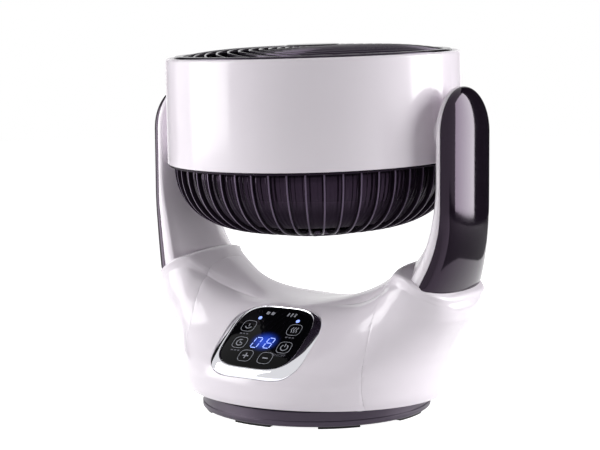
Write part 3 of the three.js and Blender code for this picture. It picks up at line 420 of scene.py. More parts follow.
# Levels from the lower edge to the crest. length and depth run from the lower edge's size to the
# collars' (lobe: the depth beside the middle), square is 2 for an oval and more for a squarer
# outline, up and rise are shares of the height and of the climb to the arms, waist and lift are
# millimetres drawn in beside, and raised at, the collars.
body_levels = (
    # length, depth, lobe, square, up, rise, waist, lift
    (0, 1, 0, 2, 0, 0, 0, 0),
    (0.07, 1.02, -0.04, 2.05, 0.08, 0, 0, 0),
    (0.1, 1.023, -0.05, 2.1, 0.21, 0.02, 0, 0),
    (0.19, 1.004, 0.05, 2.15, 0.34, 0.08, 1, 0),
    (0.38, 0.915, 0.29, 2.25, 0.47, 0.2, 4, 0),
    (0.7, 0.755, 0.62, 2.4, 0.633, 0.42, 8, 0),
    (0.99, 0.574, 0.85, 2.7, 0.81, 0.7, 13, -1),
    (1.03, 0.45, 0.94, 3.2, 0.915, 0.86, 19, -2.5),
    (1.02, 0.4, 0.985, 3.8, 0.95, 0.93, 24, -3.4),
    (1.005, 0.36, 0.99, 4.3, 0.967, 0.97, 27, -2.5),
    (0.995, 0.32, 1, 5, 0.978, 1, 28, -0.4),
    (0.96, 0.24, 1.04, 5, 0.992, 1, 26, 0),
    (0.7, 0.12, 1.4, 4, 1, 1, 14, 0),
    (0.3, 0, 2.2, 2.4, 1, 1, 0, 0),
)


def mix(start, end, share):
    return start + (end - start) * share


def smooth_step(low, high, value):
    share = min(max((value - low) / (high - low), 0), 1)
    return share * share * (3 - 2 * share)


def level_between(place):
    """The level at a place between two of the list's, on a smooth curve that never overshoots."""
    k = min(int(place), len(body_levels) - 2)
    share = place - k
    before, start, end, after = (
        body_levels[min(max(i, 0), len(body_levels) - 1)] for i in (k - 1, k, k + 1, k + 2))

    def lean(low, middle, high):
        down, up = middle - low, high - middle
        return 2 * down * up / (down + up) if down * up > 0 else 0

    values = []
    for a, b, c, d in zip(before, start, end, after):
        first, last = lean(a, b, c), lean(b, c, d)
        values.append(
            b * (1 + 2 * share) * (1 - share) ** 2 + first * share * (1 - share) ** 2
            + c * share ** 2 * (3 - 2 * share) - last * share ** 2 * (1 - share))
    return values


def crest_height(x):
    """The saddle's crest line, which runs over into the sloping rim of a collar."""
    far = min(abs(x), saddle_radius - 1)
    saddle = saddle_bottom + saddle_radius - math.sqrt(saddle_radius ** 2 - far ** 2)
    collar = collar_height - collar_slope * (abs(x) - collar_edge)
    gap = math.hypot(collar - saddle, shoulder_softness)
    return (collar + saddle - gap) / 2


def circle(count):
    """The cosine and sine of angles that go evenly round once."""
    angles = [2 * math.pi * j / count for j in range(count)]
    return [(math.cos(angle), math.sin(angle)) for angle in angles]


def body_ring(place):
    """A ring of the skin: a squarish oval, drawn in beside the collars and raised under them."""
    length, depth, lobe, square, up, rise, waist, lift = level_between(place)
    long = mix(body_length, collar_length, length)
    middle = body_depth * depth
    side = mix(body_depth, collar_depth, lobe) if depth > 0.001 else 0
    ring = []
    for across, along in circle(body_columns):
        front = along < 0
        x = long * across
        away = abs(x) / collar_length
        fuller = corner_fullness * rise ** 3 * (1 - rise) * smooth_step(0.45, 0.8, away)
        corner = square * (1 + (fuller if front else 0))
        bow = max(1 - abs(across) ** corner, 0) ** (1 / corner)
        fade = front_fade if front else back_fade
        drawn = smooth_step(0.08, 0.5, away) * (1 - smooth_step(*fade, away))
        drawn *= front_waist if front else 1
        outward = smooth_step(0.13, 0.77, away)
        deep = max(mix(middle, side, outward) - waist * drawn, 0)
        climb = (crest_height(x) - crest_height(0)) * rise + lift * smooth_step(0.6, 0.8, away)
        edge = mix(body_depth * crest_middle, collar_depth, outward) - crest_waist * drawn
        fall = crest_round * (1 if front else back_round)
        reach = 1 - math.sqrt(1 - 0.97 * min(deep * bow / edge, 1) ** 2)
        inboard = smooth_step(10, 90, abs(x)) * (1 - smooth_step(98, 122, abs(x)))
        z = mix(body_bottom, saddle_bottom, up) + climb - fall * reach * inboard * rise ** 3
        ring.append((x, math.copysign(deep * bow, along) if abs(along) > 1e-9 else 0, z))
    return ring


def skinned(name, rings, hoop=False, ends=(False, False)):
    """Faces between a stack of rings of points in millimetres. hoop joins the last to the first."""
    count = len(rings[0])
    points = [tuple(value * MM for value in point) for ring in rings for point in ring]
    faces = []
    for k in range(len(rings) if hoop else len(rings) - 1):
        low, high = k * count, (k + 1) % len(rings) * count
        for j in range(count):
            turn = (j + 1) % count
            faces.append((low + j, low + turn, high + turn, high + j))
    if ends[0]:
        faces.append(tuple(reversed(range(count))))
    if ends[1]:
        faces.append(tuple(range(len(points) - count, len(points))))
    return tidied(meshed(name, points, faces))


def cut(piece, point, normal, clear=False):
    """Cuts the whole mesh along a plane; clear drops what lies on the side the normal points to."""
    with editing(piece):
        bpy.ops.mesh.bisect(plane_co=Vector(point) * MM, plane_no=normal, clear_outer=clear,
                            use_fill=clear)
    return piece


def copied(piece, name):
    """A copy with its own mesh."""
    copy = piece.copy()
    copy.data = piece.data.copy()
    copy.name = copy.data.name = name
    scene.collection.objects.link(copy)
    return copy


def body_half(name, side, back, keep_front):
    """One shell: the skin cut along the seam's planes, without the faces of the other shell."""
    half = copied(body_skin, name)
    for point, normal in (((side, 0, 0), (1, 0, 0)), ((-side, 0, 0), (-1, 0, 0)),
                          ((0, back, 0), (0, 1, 0))):
        cut(half, point, normal)
    with editing(half):
        bpy.ops.mesh.select_all(action="DESELECT")
    for face in half.data.polygons:
        middle = face.center / MM
        in_front = abs(middle.x) < side and middle.y < back
        face.select = in_front != keep_front
    bpy.ops.object.mode_set(mode="EDIT")
    bpy.ops.mesh.select_mode(type="FACE")
    bpy.ops.mesh.delete(type="FACE")
    bpy.ops.mesh.select_mode(type="VERT")
    bpy.ops.object.mode_set(mode="OBJECT")
    return half


ring_count = (len(body_levels) - 1) * rings_per_level
body_skin = skinned("body_skin", [body_ring(k / rings_per_level) for k in range(ring_count + 1)])
front_shell = body_half("front_shell", seam_side, seam_back, True)
rear_shell = body_half("rear_shell", seam_side + seam_gap, seam_back + seam_gap, False)
bpy.data.objects.remove(body_skin)

# The panel's opening in the front shell, an upright prism on the panel's own plane.
panel_tilt = math.radians(38)
panel_place = Vector((0, -75, 70.4))
panel_square = 3.6
bezel_wide, bezel_tall, bezel_shift = 46.5, 39.2, -3.2
glass_wide, glass_tall = 37.6, 34.3


def squircle(half_wide, half_tall, middle=(0, 0), power=2 / panel_square, count=128):
    """Points of a rounded rectangle in the panel's plane."""
    return [(middle[0] + math.copysign(half_wide * abs(across) ** power, across),
             middle[1] + math.copysign(half_tall * abs(along) ** power, along))
            for across, along in circle(count)]


def settled(piece, place=(0, 0, 0), turn=(0, 0, 0)):
    """Puts a piece at a place, in metres, with a turn, and applies both to its mesh."""
    piece.location, piece.rotation_euler = place, turn
    only(piece)
    bpy.ops.object.transform_apply(location=True, rotation=True, scale=True)
    return piece


def on_panel(piece):
    """Moves a piece from the panel's own plane, X across and Y up the slope, to its place."""
    return settled(piece, panel_place * MM, (panel_tilt, 0, 0))


def combined(piece, operation, other, **settings):
    """Cuts the other piece out of this one or unites them, and removes the other."""
    worked(piece, "BOOLEAN", operation=operation, solver="EXACT", object=other, **settings)
    bpy.data.objects.remove(other)


for shell in (front_shell, rear_shell):
    worked(shell, "SOLIDIFY", thickness=body_wall * MM, offset=-1)
opening_outline = squircle(bezel_wide + 0.3, bezel_tall + 0.3, (0, bezel_shift))
opening = on_panel(skinned("panel_opening", [
    [(x, y, height) for x, y in opening_outline] for height in (-40, 20)], ends=(True, True)))
combined(front_shell, "DIFFERENCE", opening, use_self=True)

white_gloss = moulded("glossy_white_plastic", "e9e2ea", 0.16, spread=0.05, mottle=0.02, cloud=14,
                      grain=220, depth=0.006)
for shell, node in ((front_shell, "body_front_shell"), (rear_shell, "body_rear_shell")):
    softened(shell, 0.2, angle=50)
    finished(shell, white_gloss)
    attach(shell, "yoke")
    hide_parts(node)

# ---- Panel bezel -----------------------------------------------------------------------------
# A chromed plastic frame round the touch glass. Its skirt is widest along the lower edge, where
# it falls away to the body.
bezel_drop, bezel_depth = 4, 9
glass_thick = 2


def bezel_level(margin, height):
    return [(x, y, height) for x, y in squircle(glass_wide + margin, glass_tall + margin)]


def bezel_rim(share, height=None):
    """Ring between the glass's edge (0) and the skirt's outer edge (1), crowned in between."""
    inner = squircle(glass_wide + 1.4, glass_tall + 1.4)
    outer = squircle(bezel_wide, bezel_tall, (0, bezel_shift))
    ring = []
    for (x0, y0), (x1, y1) in zip(inner, outer):
        low = max(-(y1 - bezel_shift) / bezel_tall, 0)
        side = abs(x1) / bezel_wide
        fall = bezel_drop * (0.25 + 0.35 * side ** 2 + 0.75 * low ** 2)
        z = mix(0.7, -fall, share ** 1.8) if height is None else height
        ring.append((mix(x0, x1, share), mix(y0, y1, share), z))
    return ring


bezel = skinned("panel_frame", [
    bezel_level(-2.5, -bezel_depth), bezel_level(-2.5, -glass_thick - 0.3),
    bezel_level(0.3, -glass_thick - 0.3), bezel_level(0.3, 0.1), bezel_level(0.8, 0.6),
    *[bezel_rim(i / 6) for i in range(7)], bezel_rim(1, -bezel_depth)], hoop=True)
on_panel(bezel)
softened(bezel, 0.6, segments=3, angle=35)
chrome = moulded("chromed_plastic", "d9d9de", 0.06, spread=0.05, mottle=0.03, metal=1.0,
                 grain=300, depth=0.004)
finished(bezel, chrome)
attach(bezel, "yoke")
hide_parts("panel_bezel")

# ---- Touch glass -----------------------------------------------------------------------------
# A black glass plate set into the frame, nearly flush with it. The display under it glows blue
# round its digits, which the glass's own material shows.
digits_place = (0.6, -4.6)
glow_size = (17, 13)

glass = skinned("touch_glass", [
    [(x, y, height) for x, y in squircle(glass_wide, glass_tall)]
    for height in (-glass_thick, 0)], ends=(True, True))
on_panel(glass)
softened(glass, 0.5, segments=3, angle=35)
black_glass = moulded("black_touch_glass", "060608", 0.05, spread=0.03, mottle=0.1, depth=0.002,
                      gloss=0.08)
tree = black_glass.node_tree
glow_middle = panel_place + Euler((panel_tilt, 0, 0)).to_matrix() @ Vector((*digits_place, 0))
glow_frame = added(tree, "Mapping", {
    "Vector": added(tree, "TexCoord").outputs["Object"], "Location": glow_middle * MM,
    "Rotation": (panel_tilt, 0, 0), "Scale": Vector((*glow_size, 30)) * MM}, vector_type="TEXTURE")
glow_reach = added(tree, "VectorMath", {0: glow_frame.outputs["Vector"]}, operation="LENGTH")
glow_fade = added(tree, "MapRange", {
    "Value": glow_reach.outputs["Value"], "From Min": 1, "From Max": 0},
    interpolation_type="SMOOTHERSTEP")
glow_colour = added(tree, "Mix", {
    "Factor": glow_fade.outputs["Result"], "A": (0, 0, 0, 1), "B": linear("2f55e0")},
    data_type="RGBA")
wired(tree.nodes["Principled BSDF"], {
    "Emission Color": glow_colour.outputs["Result"], "Emission Strength": 0.8})
finished(glass, black_glass)
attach(glass, "yoke")
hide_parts("panel_glass")

# ---- Panel marks -----------------------------------------------------------------------------
# Pale grey print on the glass: an outline with a plain symbol for each touch key, short bars and
# the word of the switch. Raised by a few hundredths of a millimetre so that it lies on the glass.
print_height = 0.06
key_half = 6.6
line_width = 0.46


def drawn(name, strokes):
    """One flat mesh from strokes, each (points, width, closed), lifted off the glass."""
    points, faces = [], []
    for path, width, closed in strokes:
        first = len(points)
        count = len(path)
        for i, (x, y) in enumerate(path):
            before = path[i - 1] if i or closed else path[i]
            after = path[(i + 1) % count] if i + 1 < count or closed else path[i]
            step = Vector((after[0] - before[0], after[1] - before[1])).normalized()
            side = Vector((-step.y, step.x)) * width / 2
            points += [(x + side.x, y + side.y, 0), (x - side.x, y - side.y, 0)]
        for i in range(count if closed else count - 1):
            a, b = first + 2 * i, first + 2 * ((i + 1) % count)
            faces.append((a, b, b + 1, a + 1))
    piece = meshed(name, [tuple(value * MM for value in point) for point in points], faces)
    with editing(piece):
        bpy.ops.mesh.normals_make_consistent(inside=False)
        bpy.ops.mesh.extrude_region_move(TRANSFORM_OT_translate={"value": (0, 0, print_height * MM)})
    return on_panel(tidied(piece, 0.001))


def arc(x, y, radius, start, end, steps=14):
    angles = [math.radians(mix(start, end, i / steps)) for i in range(steps + 1)]
    return [(x + radius * math.cos(a), y + radius * math.sin(a)) for a in angles]


swing_key, wave_key = (-24.4, 10.6), (22.3, 11.5)
timer_key, power_key = (-22.9, -8.5), (22.9, -8.6)
plus_key, minus_key = (-9.4, -22.0), (10.9, -22.1)
marks = [(squircle(key_half, key_half * 0.93, key, 0.62, 40), line_width, True)
         for key in (swing_key, wave_key, timer_key, power_key, plus_key, minus_key)]
x, y = swing_key
marks += [(arc(x, y + 0.8, 3.4, 205, 335), 0.9, False), ([(x, y - 0.6), (x, y + 2.6)], 0.8, False)]
x, y = wave_key
for shift in (-2.4, 0, 2.4):
    wave = [(x + shift + 0.6 * math.sin(i * 0.9), y - 3 + i * 0.6) for i in range(11)]
    marks.append((wave, 0.8, False))
x, y = timer_key
marks += [(arc(x, y, 3.3, 70, 330), 0.9, False),
          ([(x, y + 1.9), (x, y), (x + 2.6, y - 0.6)], 0.9, False)]
x, y = power_key
marks += [(arc(x, y, 3.3, 125, 415), 0.9, False), ([(x, y + 0.4), (x, y + 4.2)], 0.9, False)]
x, y = plus_key
marks += [([(x - 3, y), (x + 3, y)], 1.1, False), ([(x, y - 3), (x, y - 0.56)], 1.1, False),
          ([(x, y + 0.56), (x, y + 3)], 1.1, False)]
x, y = minus_key
marks.append(([(x - 2.6, y), (x + 2.6, y)], 1.2, False))
marks += [([(x, 25.6), (x + 0.7, 29.4)], 1.5, False) for x in (7.4, 11, 14.6)]
for x in (-13.6, -8.4):
    marks.append(([(x, 25.6), (x + 0.8, 28.6)], 3.2, False))
print_pale = moulded("pale_print", "94969f", 0.5, mottle=0.1, depth=0.005)
print_marks = drawn("panel_marks", marks)
finished(print_marks, print_pale)
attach(print_marks, "yoke")

labels = [([(x + start, y - 8.9), (x + start + 2.2, y - 8.9)], 1.3, False)
          for x, y in (swing_key, wave_key, timer_key) for start in (-4.4, -1.1, 2.2)]
print_dim = moulded("dim_print", "55555e", 0.5, mottle=0.1, depth=0.005)
label_bars = drawn("panel_labels", labels)
finished(label_bars, print_dim)
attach(label_bars, "yoke")
bpy.ops.object.select_all(action="DESELECT")
bpy.ops.object.text_add()
switch_word = bpy.context.object
switch_word.name = "switch_word"
switch_word.data.body = "ON/OFF"
switch_word.data.size = 3.7 * MM
switch_word.data.align_x = "CENTER"
switch_word.data.extrude = print_height / 2 * MM
only(switch_word)
bpy.ops.object.convert(target="MESH")
with editing(switch_word):
    bpy.ops.transform.translate(
        value=Vector((power_key[0] - 1, power_key[1] - key_half - 3.4, print_height / 2)) * MM)
on_panel(tidied(switch_word, 0.001))
finished(switch_word, print_dim)
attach(switch_word, "yoke")

# ---- Lit digits ------------------------------------------------------------------------------
# Two seven-segment digits and two indicator lamps that shine through the glass in blue. They are
# thin raised strokes like the print, with a light of their own.
digit_wide, digit_tall, digit_lean = 6.2, 11.4, 0.14


def digit(letters, x, y):
    """Strokes of the lettered segments of a digit whose middle is at x, y."""
    half, tall = digit_wide / 2, digit_tall / 2
    gap = 0.7
    ends = {
        "a": ((-half + gap, tall), (half - gap, tall)),
        "d": ((-half + gap, -tall), (half - gap, -tall)),
        "g": ((-half + gap, 0), (half - gap, 0)), "b": ((half, gap), (half, tall - gap)),
        "c": ((half, gap - tall), (half, -gap)), "e": ((-half, gap - tall), (-half, -gap)),
        "f": ((-half, gap), (-half, tall - gap)),
    }
    return [([(x + u + digit_lean * v, y + v) for u, v in ends[letter]], 0.85, False)
            for letter in letters]


lights = digit("abcdef", -6.6, -6.6) + digit("abcdefg", 5.9, -5.8)
for x, y in ((-18.2, 20.9), (20.6, 21.4)):
    lights.append((arc(x, y, 0.95, 0, 330, 11), 1.7, True))
lit_blue = moulded("lit_blue", "9db4ff", 0.4, depth=0.002)
wired(lit_blue.node_tree.nodes["Principled BSDF"], {
    "Emission Color": linear("8fa8ff"), "Emission Strength": 0.85})
panel_lights = drawn("panel_lights", lights)
finished(panel_lights, lit_blue)
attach(panel_lights, "yoke")

# ---- Arms ------------------------------------------------------------------------------------
# Each arm is a white shell towards the drum and a glossy black cover outside. Both bend in to
# the collar at their foot and end in a half round over the pivot.
pivot_height = 242
arm_half, arm_root_half = 38, 48.5
arm_inner, arm_parting, arm_outer = 141, 145.6, 157.9
arm_edge = 2.4                              # round of the white shell's edges
arm_low = 104
arm_slices, cap_slices = 56, 18


def eased(straight, start, radius, z):
    """A straight measure that bends away below a height with the given radius."""
    return straight - max(start - z, 0) ** 2 / (2 * radius)


def arm_slice(z):
    above = min(max((z - pivot_height) / arm_half, 0), 1)
    round_off = math.sqrt(1 - above ** 2)
    parting = eased(arm_parting, pivot_height - 57, 150, z)
    flare = arm_half - eased(arm_half, pivot_height - 72, 134, z)
    innermost = collar_edge + 3.5
    return {
        "half": min(arm_half + flare, arm_root_half) * round_off,
        "inner": max(eased(arm_inner, pivot_height - 37, 74, z), innermost),
        "edge": max(eased(arm_inner, pivot_height - 37, 172, z), innermost),
        "parting": parting,
        "bulge": (eased(arm_outer, pivot_height - 72, 143, z) - parting) * round_off,
    }


def arm_heights():
    straight = [mix(arm_low, pivot_height, i / arm_slices) for i in range(arm_slices)]
    cap = [pivot_height + arm_half * math.sin(i * math.pi / 2 / cap_slices)
           for i in range(cap_slices + 1)]
    return straight + cap


def white_outline(z):
    """The white shell's section from the parting line round the inner face."""
    arm = arm_slice(z)
    half, parting = arm["half"], arm["parting"]
    corner = min(arm_edge, half)
    deepest = parting - 0.4
    steps = 16
    face, rounded = [], []
    for i in range(steps + 1):
        share = -1 + 2 * i / steps
        x = mix(arm["inner"], arm["edge"], share ** 2)
        face.append((min(x, deepest), share * (half - corner), z))
    for i in range(1, 5):
        angle = math.pi / 2 * i / 5
        x = mix(arm["inner"], arm["edge"], 1) + corner * (1 - math.cos(angle))
        rounded.append((min(x, deepest), half - corner * (1 - math.sin(angle)), z))
    mirrored = [(x, -y, z) for x, y, z in reversed(rounded)]
    return [(parting, -half, z), *mirrored, *face, *rounded, (parting, half, z)]


def black_outline(z):
    """The black cover's section from the parting line round the crown."""
    arm = arm_slice(z)
    steps = 28
    points = []
    for i in range(steps + 1):
        angle = -math.pi / 2 + math.pi * i / steps
        x = arm["parting"] + 0.3 + arm["bulge"] * max(math.cos(angle), 0) ** 0.8
        points.append((x, arm["half"] * math.sin(angle), z))
    return points


def on_other_side(piece, name):
    """The mirror image on the left, with its own mesh."""
    twin = copied(piece, name)
    with editing(twin):
        bpy.ops.transform.resize(value=(-1, 1, 1), center_override=(0, 0, 0))
        bpy.ops.mesh.normals_make_consistent(inside=False)
    return twin


black_gloss = moulded("glossy_black_plastic", "150f18", 0.07, spread=0.04, mottle=0.1, cloud=20,
                      grain=180, depth=0.006, gloss=0.36, sheen="f8dcff")
for kind, outline, material, slot in (
        ("shell", white_outline, white_gloss, "white_shell"),
        ("cover", black_outline, black_gloss, "black_gloss")):
    right = skinned(f"right_arm_{kind}", [outline(z) for z in arm_heights()], ends=(True, False))
    cut(right, (collar_length, 0, 110.4), (-0.426, 0, -1), clear=True)
    softened(right, 0.5, segments=3, angle=45)
    left = on_other_side(right, f"left_arm_{kind}")
    for piece, word in ((right, "right"), (left, "left")):
        finished(piece, material)
        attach(piece, "yoke")
        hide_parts(f"arm_{word}_{kind}")

# ---- Pivot discs -----------------------------------------------------------------------------
# Pale acetal discs, one on each pivot between the drum's boss and the arm. They keep the two
# apart and let the head tilt.
disc_low, disc_high = (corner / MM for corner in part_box("pivot_washer_right"))
lying = (0, math.pi / 2, 0)                 # turned from the Z axis to lie along X
disc_radius = disc_high.z - pivot_height
disc = turned("right_pivot_disc", [
    (7.3, disc_low.x), (disc_radius, disc_low.x), (disc_radius, disc_high.x), (7.3, disc_high.x)])
settled(disc, (0, 0, pivot_height * MM), lying)
softened(disc, 0.6, segments=3)
for piece, word in ((disc, "right"), (on_other_side(disc, "left_pivot_disc"), "left")):
    finished(piece, acetal)
    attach(piece, "yoke")
    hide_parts(f"pivot_washer_{word}")

# ---- Cord gland ------------------------------------------------------------------------------
# A moulded black rubber bush in the back of the body, where the cord enters. Its groove holds it
# in the shell's hole.
gland_low, gland_high = (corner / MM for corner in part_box("cord_gland"))
gland = turned("cord_bush", [
    (3.4, -6), (6.5, -6), (6.5, 2.9), (9, 3.2), (9, 4.9), (7.6, 6), (4.6, 6), (3.4, 4.6)], steps=48)
softened(gland, 0.3)
gland_place = Vector((0, gland_high.y - 6, (gland_low.z + gland_high.z) / 2)) * MM
settled(gland, gland_place, (-math.pi / 2, 0, 0))
finished(gland, rubber)
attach(gland, "yoke")
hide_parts("cord_gland")

# ---- Drum ------------------------------------------------------------------------------------
# The head's glossy white drum: a slightly conical wall with a rolled rim, and a round boss on
# each side that the pivot shafts sit in. The head leans a little forward, and all of it is
# modelled upright round Z and then leaned.
head_lean = math.radians(2.4)
drum_front, drum_rear = 127.3, 128.7
drum_top, drum_low = 66, -24
drum_wall, rim_round, mouth = 2.5, 2.8, 119.8


def in_head(piece):
    """Leans a piece from the head's own upright frame into its place on the pivot line."""
    return settled(piece, (0, 0, pivot_height * MM), (head_lean, 0, 0))


drum_section = [(drum_rear - 0.4, drum_low), (drum_rear, drum_low + 0.5)]
for i in range(9):
    angle = math.pi / 2 * i / 8
    drum_section.append((drum_front - rim_round * (1 - math.cos(angle)),
                         drum_top - rim_round * (1 - math.sin(angle))))
drum_section += [
    (mouth + 2.4, drum_top - 1.2), (mouth + 1.2, drum_top - 2), (mouth, drum_top - 3.5),
    (mouth, drum_top - 8), (drum_front - drum_wall, drum_top - 10),
    (drum_rear - drum_wall, drum_low)]
drum = turned("drum", drum_section, steps=192)
boss_bore, boss_radius, boss_end = 7.4, 16, 135
boss = turned("drum_boss", [
    (boss_bore, 0), (boss_radius, 0), (boss_radius, boss_end - 0.8), (boss_radius - 0.8, boss_end),
    (boss_bore, boss_end)], steps=96)
settled(boss, turn=lying)
cut(boss, (drum_front - 1.5, 0, 0), (-1, 0, 0), clear=True)
for side_boss in (boss, on_other_side(boss, "drum_boss_left")):
    combined(drum, "UNION", side_boss)
softened(drum, 0.25, angle=35)
in_head(drum)
finished(drum, white_gloss)
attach(drum, "head")
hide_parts("head_shroud")

# ---- Front grille ----------------------------------------------------------------------------
# One moulding of black plastic: ribs that spiral out from a round hub to a ring inside the drum's
# rim, slightly domed. A polished cap is pressed on the hub.
ring_inner, ring_proud, crown_rise, crown_square = 112.5, 1.6, 7.4, 4
rib_count, rib_sweep = 30, math.radians(100)
rib_width, rib_depth = 1.7, 5
front_hub = 25


def grille_height(radius):
    crown = (crown_rise - ring_proud) * (1 - (radius / ring_inner) ** crown_square)
    return drum_top + ring_proud + crown


def all_round(piece, count, start=0.0):
    """Joins copies of a piece, turned evenly round the Z axis, into it."""
    twins = []
    for i in range(1, count):
        twin = copied(piece, f"{piece.name}_{i}")
        twin.rotation_euler = (0, 0, 2 * math.pi * i / count + start)
        twins.append(twin)
    piece.rotation_euler = (0, 0, start)
    only(piece, *twins)
    bpy.ops.object.transform_apply(location=False, rotation=True, scale=False)
    bpy.ops.object.join()


def joined(piece, *others):
    """Joins other pieces into one."""
    only(piece, *others)
    bpy.ops.object.join()
    return piece


path = bpy.data.curves.new("spiral_rib", "CURVE")
path.dimensions = "3D"
path.twist_mode = "Z_UP"
path.extrude = (rib_depth - rib_width) / 2 * MM
path.bevel_depth = rib_width / 2 * MM
path.bevel_resolution = 2
path.use_fill_caps = True
spline = path.splines.new("POLY")
rib_steps = 30
spline.points.add(rib_steps)
for i, point in enumerate(spline.points):
    share = i / rib_steps
    radius = mix(front_hub - 1.5, ring_inner + 1.5, share)
    angle = rib_sweep * share
    height = grille_height(radius) - rib_depth / 2 - 0.4
    point.co = (radius * math.cos(angle) * MM, radius * math.sin(angle) * MM, height * MM, 1)
rib = bpy.data.objects.new("front_ribs", path)
scene.collection.objects.link(rib)
only(rib)
bpy.ops.object.convert(target="MESH")
rib = bpy.context.object
smoothed(rib, 50)
all_round(rib, rib_count)
ring_outer = mouth - 0.3
ring_top = drum_top + ring_proud
front_ring = turned("front_ring", [
    (ring_inner, drum_top - 8), (ring_outer, drum_top - 8), (ring_outer, ring_top - 1.2),
    (ring_outer - 1.2, ring_top), (ring_inner + 0.5, ring_top), (ring_inner, ring_top - 0.5)], 192)
softened(front_ring, 0.3, angle=30)
hub_top = grille_height(front_hub - 1.5)


def above(base, *points):
    """Half-section points whose heights are given from a base height."""
    return [(radius, base + height) for radius, height in points]


front_hub_disc = turned("front_hub", above(
    hub_top, (0, -5.8), (front_hub, -5.8), (front_hub, -0.6), (front_hub - 0.6, 0), (0, 0)), 96)
softened(front_hub_disc, 0.2, angle=30)
front_grille = joined(rib, front_ring, front_hub_disc)
front_grille.name = front_grille.data.name = "spiral_grille"
in_head(front_grille)
grille_black = moulded("grille_black_plastic", "1a171d", 0.16, spread=0.1, mottle=0.15, gloss=0.34,
                       sheen="f0d4ff")
finished(front_grille, grille_black)
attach(front_grille, "head")
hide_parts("front_grille")

hub_cap = turned("hub_cap", above(
    hub_top, (0, 0.3), (23, 0.3), (22.6, 0.7), (20, 1.0), (12, 1.3), (0, 1.5)), 96)
softened(hub_cap, 0.2, angle=35)
in_head(hub_cap)
cap_gloss = moulded("polished_black_plastic", "121015", 0.05, spread=0.03, mottle=0.1, depth=0.004)
finished(hub_cap, cap_gloss)
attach(hub_cap, "head")
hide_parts("front_hub_cap")

# ---- Rear grille -----------------------------------------------------------------------------
# One moulding of black plastic: fifty-one upright fins run from a band under the drum round the
# dome to a flat hub. The fins' outer edges are satin, in a lighter colour that is a painted
# highlight, and their sides are dull.
rear_shoulder, rear_depth, rear_hub = 123.6, 84.5, 46
dome_square = 2.4
fin_count, fin_width, fin_depth = 51, 1.5, 5
hub_plate = 3
fin_steps = 18


def dome_point(share, inset):
    """Radius and height on the dome, from the band (0) to the flat round the hub (1)."""
    angle = share * math.pi / 2
    power = 2 / dome_square
    radius = rear_hub + (rear_shoulder - inset - rear_hub) * max(math.cos(angle), 0) ** power
    depth = -drum_low + (rear_depth - inset + drum_low) * math.sin(angle) ** power
    return radius, -depth


fin_rows = []
for i in range(fin_steps + 1):
    share = i / fin_steps
    outer = dome_point(share, 0.4)
    inner = dome_point(share, mix(fin_depth, hub_plate - 0.4, share))
    if i == 0:
        outer, inner = (outer[0], drum_low - 0.7), (inner[0], drum_low - 0.7)
    half = fin_width / 2
    fin_rows.append([(outer[0], -half, outer[1]), (outer[0], half, outer[1]),
                     (inner[0], half, inner[1]), (inner[0], -half, inner[1])])
fin = skinned("rear_fins", fin_rows, ends=(True, True))
softened(fin, 0.3, angle=50)
fin_sides = moulded("fin_sides_black", "130e15", 0.5, mottle=0.15, gloss=0.12, sheen="f0c8ff")
# The outer edges' lighter colour is a painted highlight, not a colour of the plastic.
fin_edge_highlight = moulded("satin_fin_edges_with_painted_highlight", "52495a", 0.36, mottle=0.15, sheen="f4d4ff")
fin.data.materials.append(fin_sides)
fin.data.materials.append(fin_edge_highlight)
dome_middle = Vector((rear_hub, 0, drum_low)) * MM
# Faces that point outward take the lighter colour, a painted highlight; the rest stay dull black.
for face in fin.data.polygons:
    outward = (face.center - dome_middle).normalized()
    face.material_index = 1 if face.normal.dot(outward) > 0.5 else 0
all_round(fin, fin_count, math.pi / fin_count)
band_top = drum_low - 0.3
band = turned("rear_band", above(
    band_top, (112, -1.8), (drum_rear - 1.4, -1.8), (drum_rear - 1, -1.4), (drum_rear - 1, 0),
    (112, 0)), 192)
softened(band, 0.25)
plate = turned("rear_hub_plate", [
    (20, -rear_depth), (rear_hub + 3, -rear_depth), (rear_hub + 3, -rear_depth + hub_plate),
    (20, -rear_depth + hub_plate)])
softened(plate, 0.4)
finished(band, fin_sides)
finished(plate, grille_black)
rear_grille = joined(fin, band, plate)
rear_grille.name = rear_grille.data.name = "fin_grille"
in_head(rear_grille)
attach(rear_grille, "head")
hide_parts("rear_grille")

# ---- Dust screen -----------------------------------------------------------------------------
# A fine black screen in upright pleats, held close behind the fins. Its lower part is dull and
# its upper part, near the drum, has more gloss.
screen_steps, pleat_count, pleat_depth = 20, 180, 0.8
screen_wall = 0.25
dull_below, glossy_above = 0.178, 0.192     # heights in metres
dull_rough, glossy_rough = 0.75, 0.14
screen_rows = []
for i in range(screen_steps + 1):
    radius, height = dome_point(i / screen_steps, fin_depth + 0.9)
    if i == 0:
        radius, height = radius - 1.2, band_top - 2.9
    ring = []
    for j in range(4 * pleat_count):
        angle = math.pi * j / (2 * pleat_count)
        pleat = radius - pleat_depth * (0, 0.5, 1, 0.5)[j % 4]
        ring.append((pleat * math.cos(angle), pleat * math.sin(angle), height))
    screen_rows.append(ring)
screen = skinned("dust_mesh", screen_rows)
worked(screen, "SOLIDIFY", thickness=screen_wall * MM, offset=-1)
smoothed(screen, 60)
in_head(screen)
screen_black = moulded("dust_screen_black", "19131c", 0.2, mottle=0.2, gloss=0.2, sheen="f0c8ff")
tree = screen_black.node_tree
screen_height = added(tree, "SeparateXYZ", {0: added(tree, "TexCoord").outputs["Object"]})
screen_rough = added(tree, "MapRange", {
    "Value": screen_height.outputs["Z"], "From Min": dull_below, "From Max": glossy_above,
    "To Min": dull_rough, "To Max": glossy_rough})
wired(tree.nodes["Principled BSDF"], {"Roughness": screen_rough.outputs["Result"]})
finished(screen, screen_black)
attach(screen, "head")
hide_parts("dust_screen")

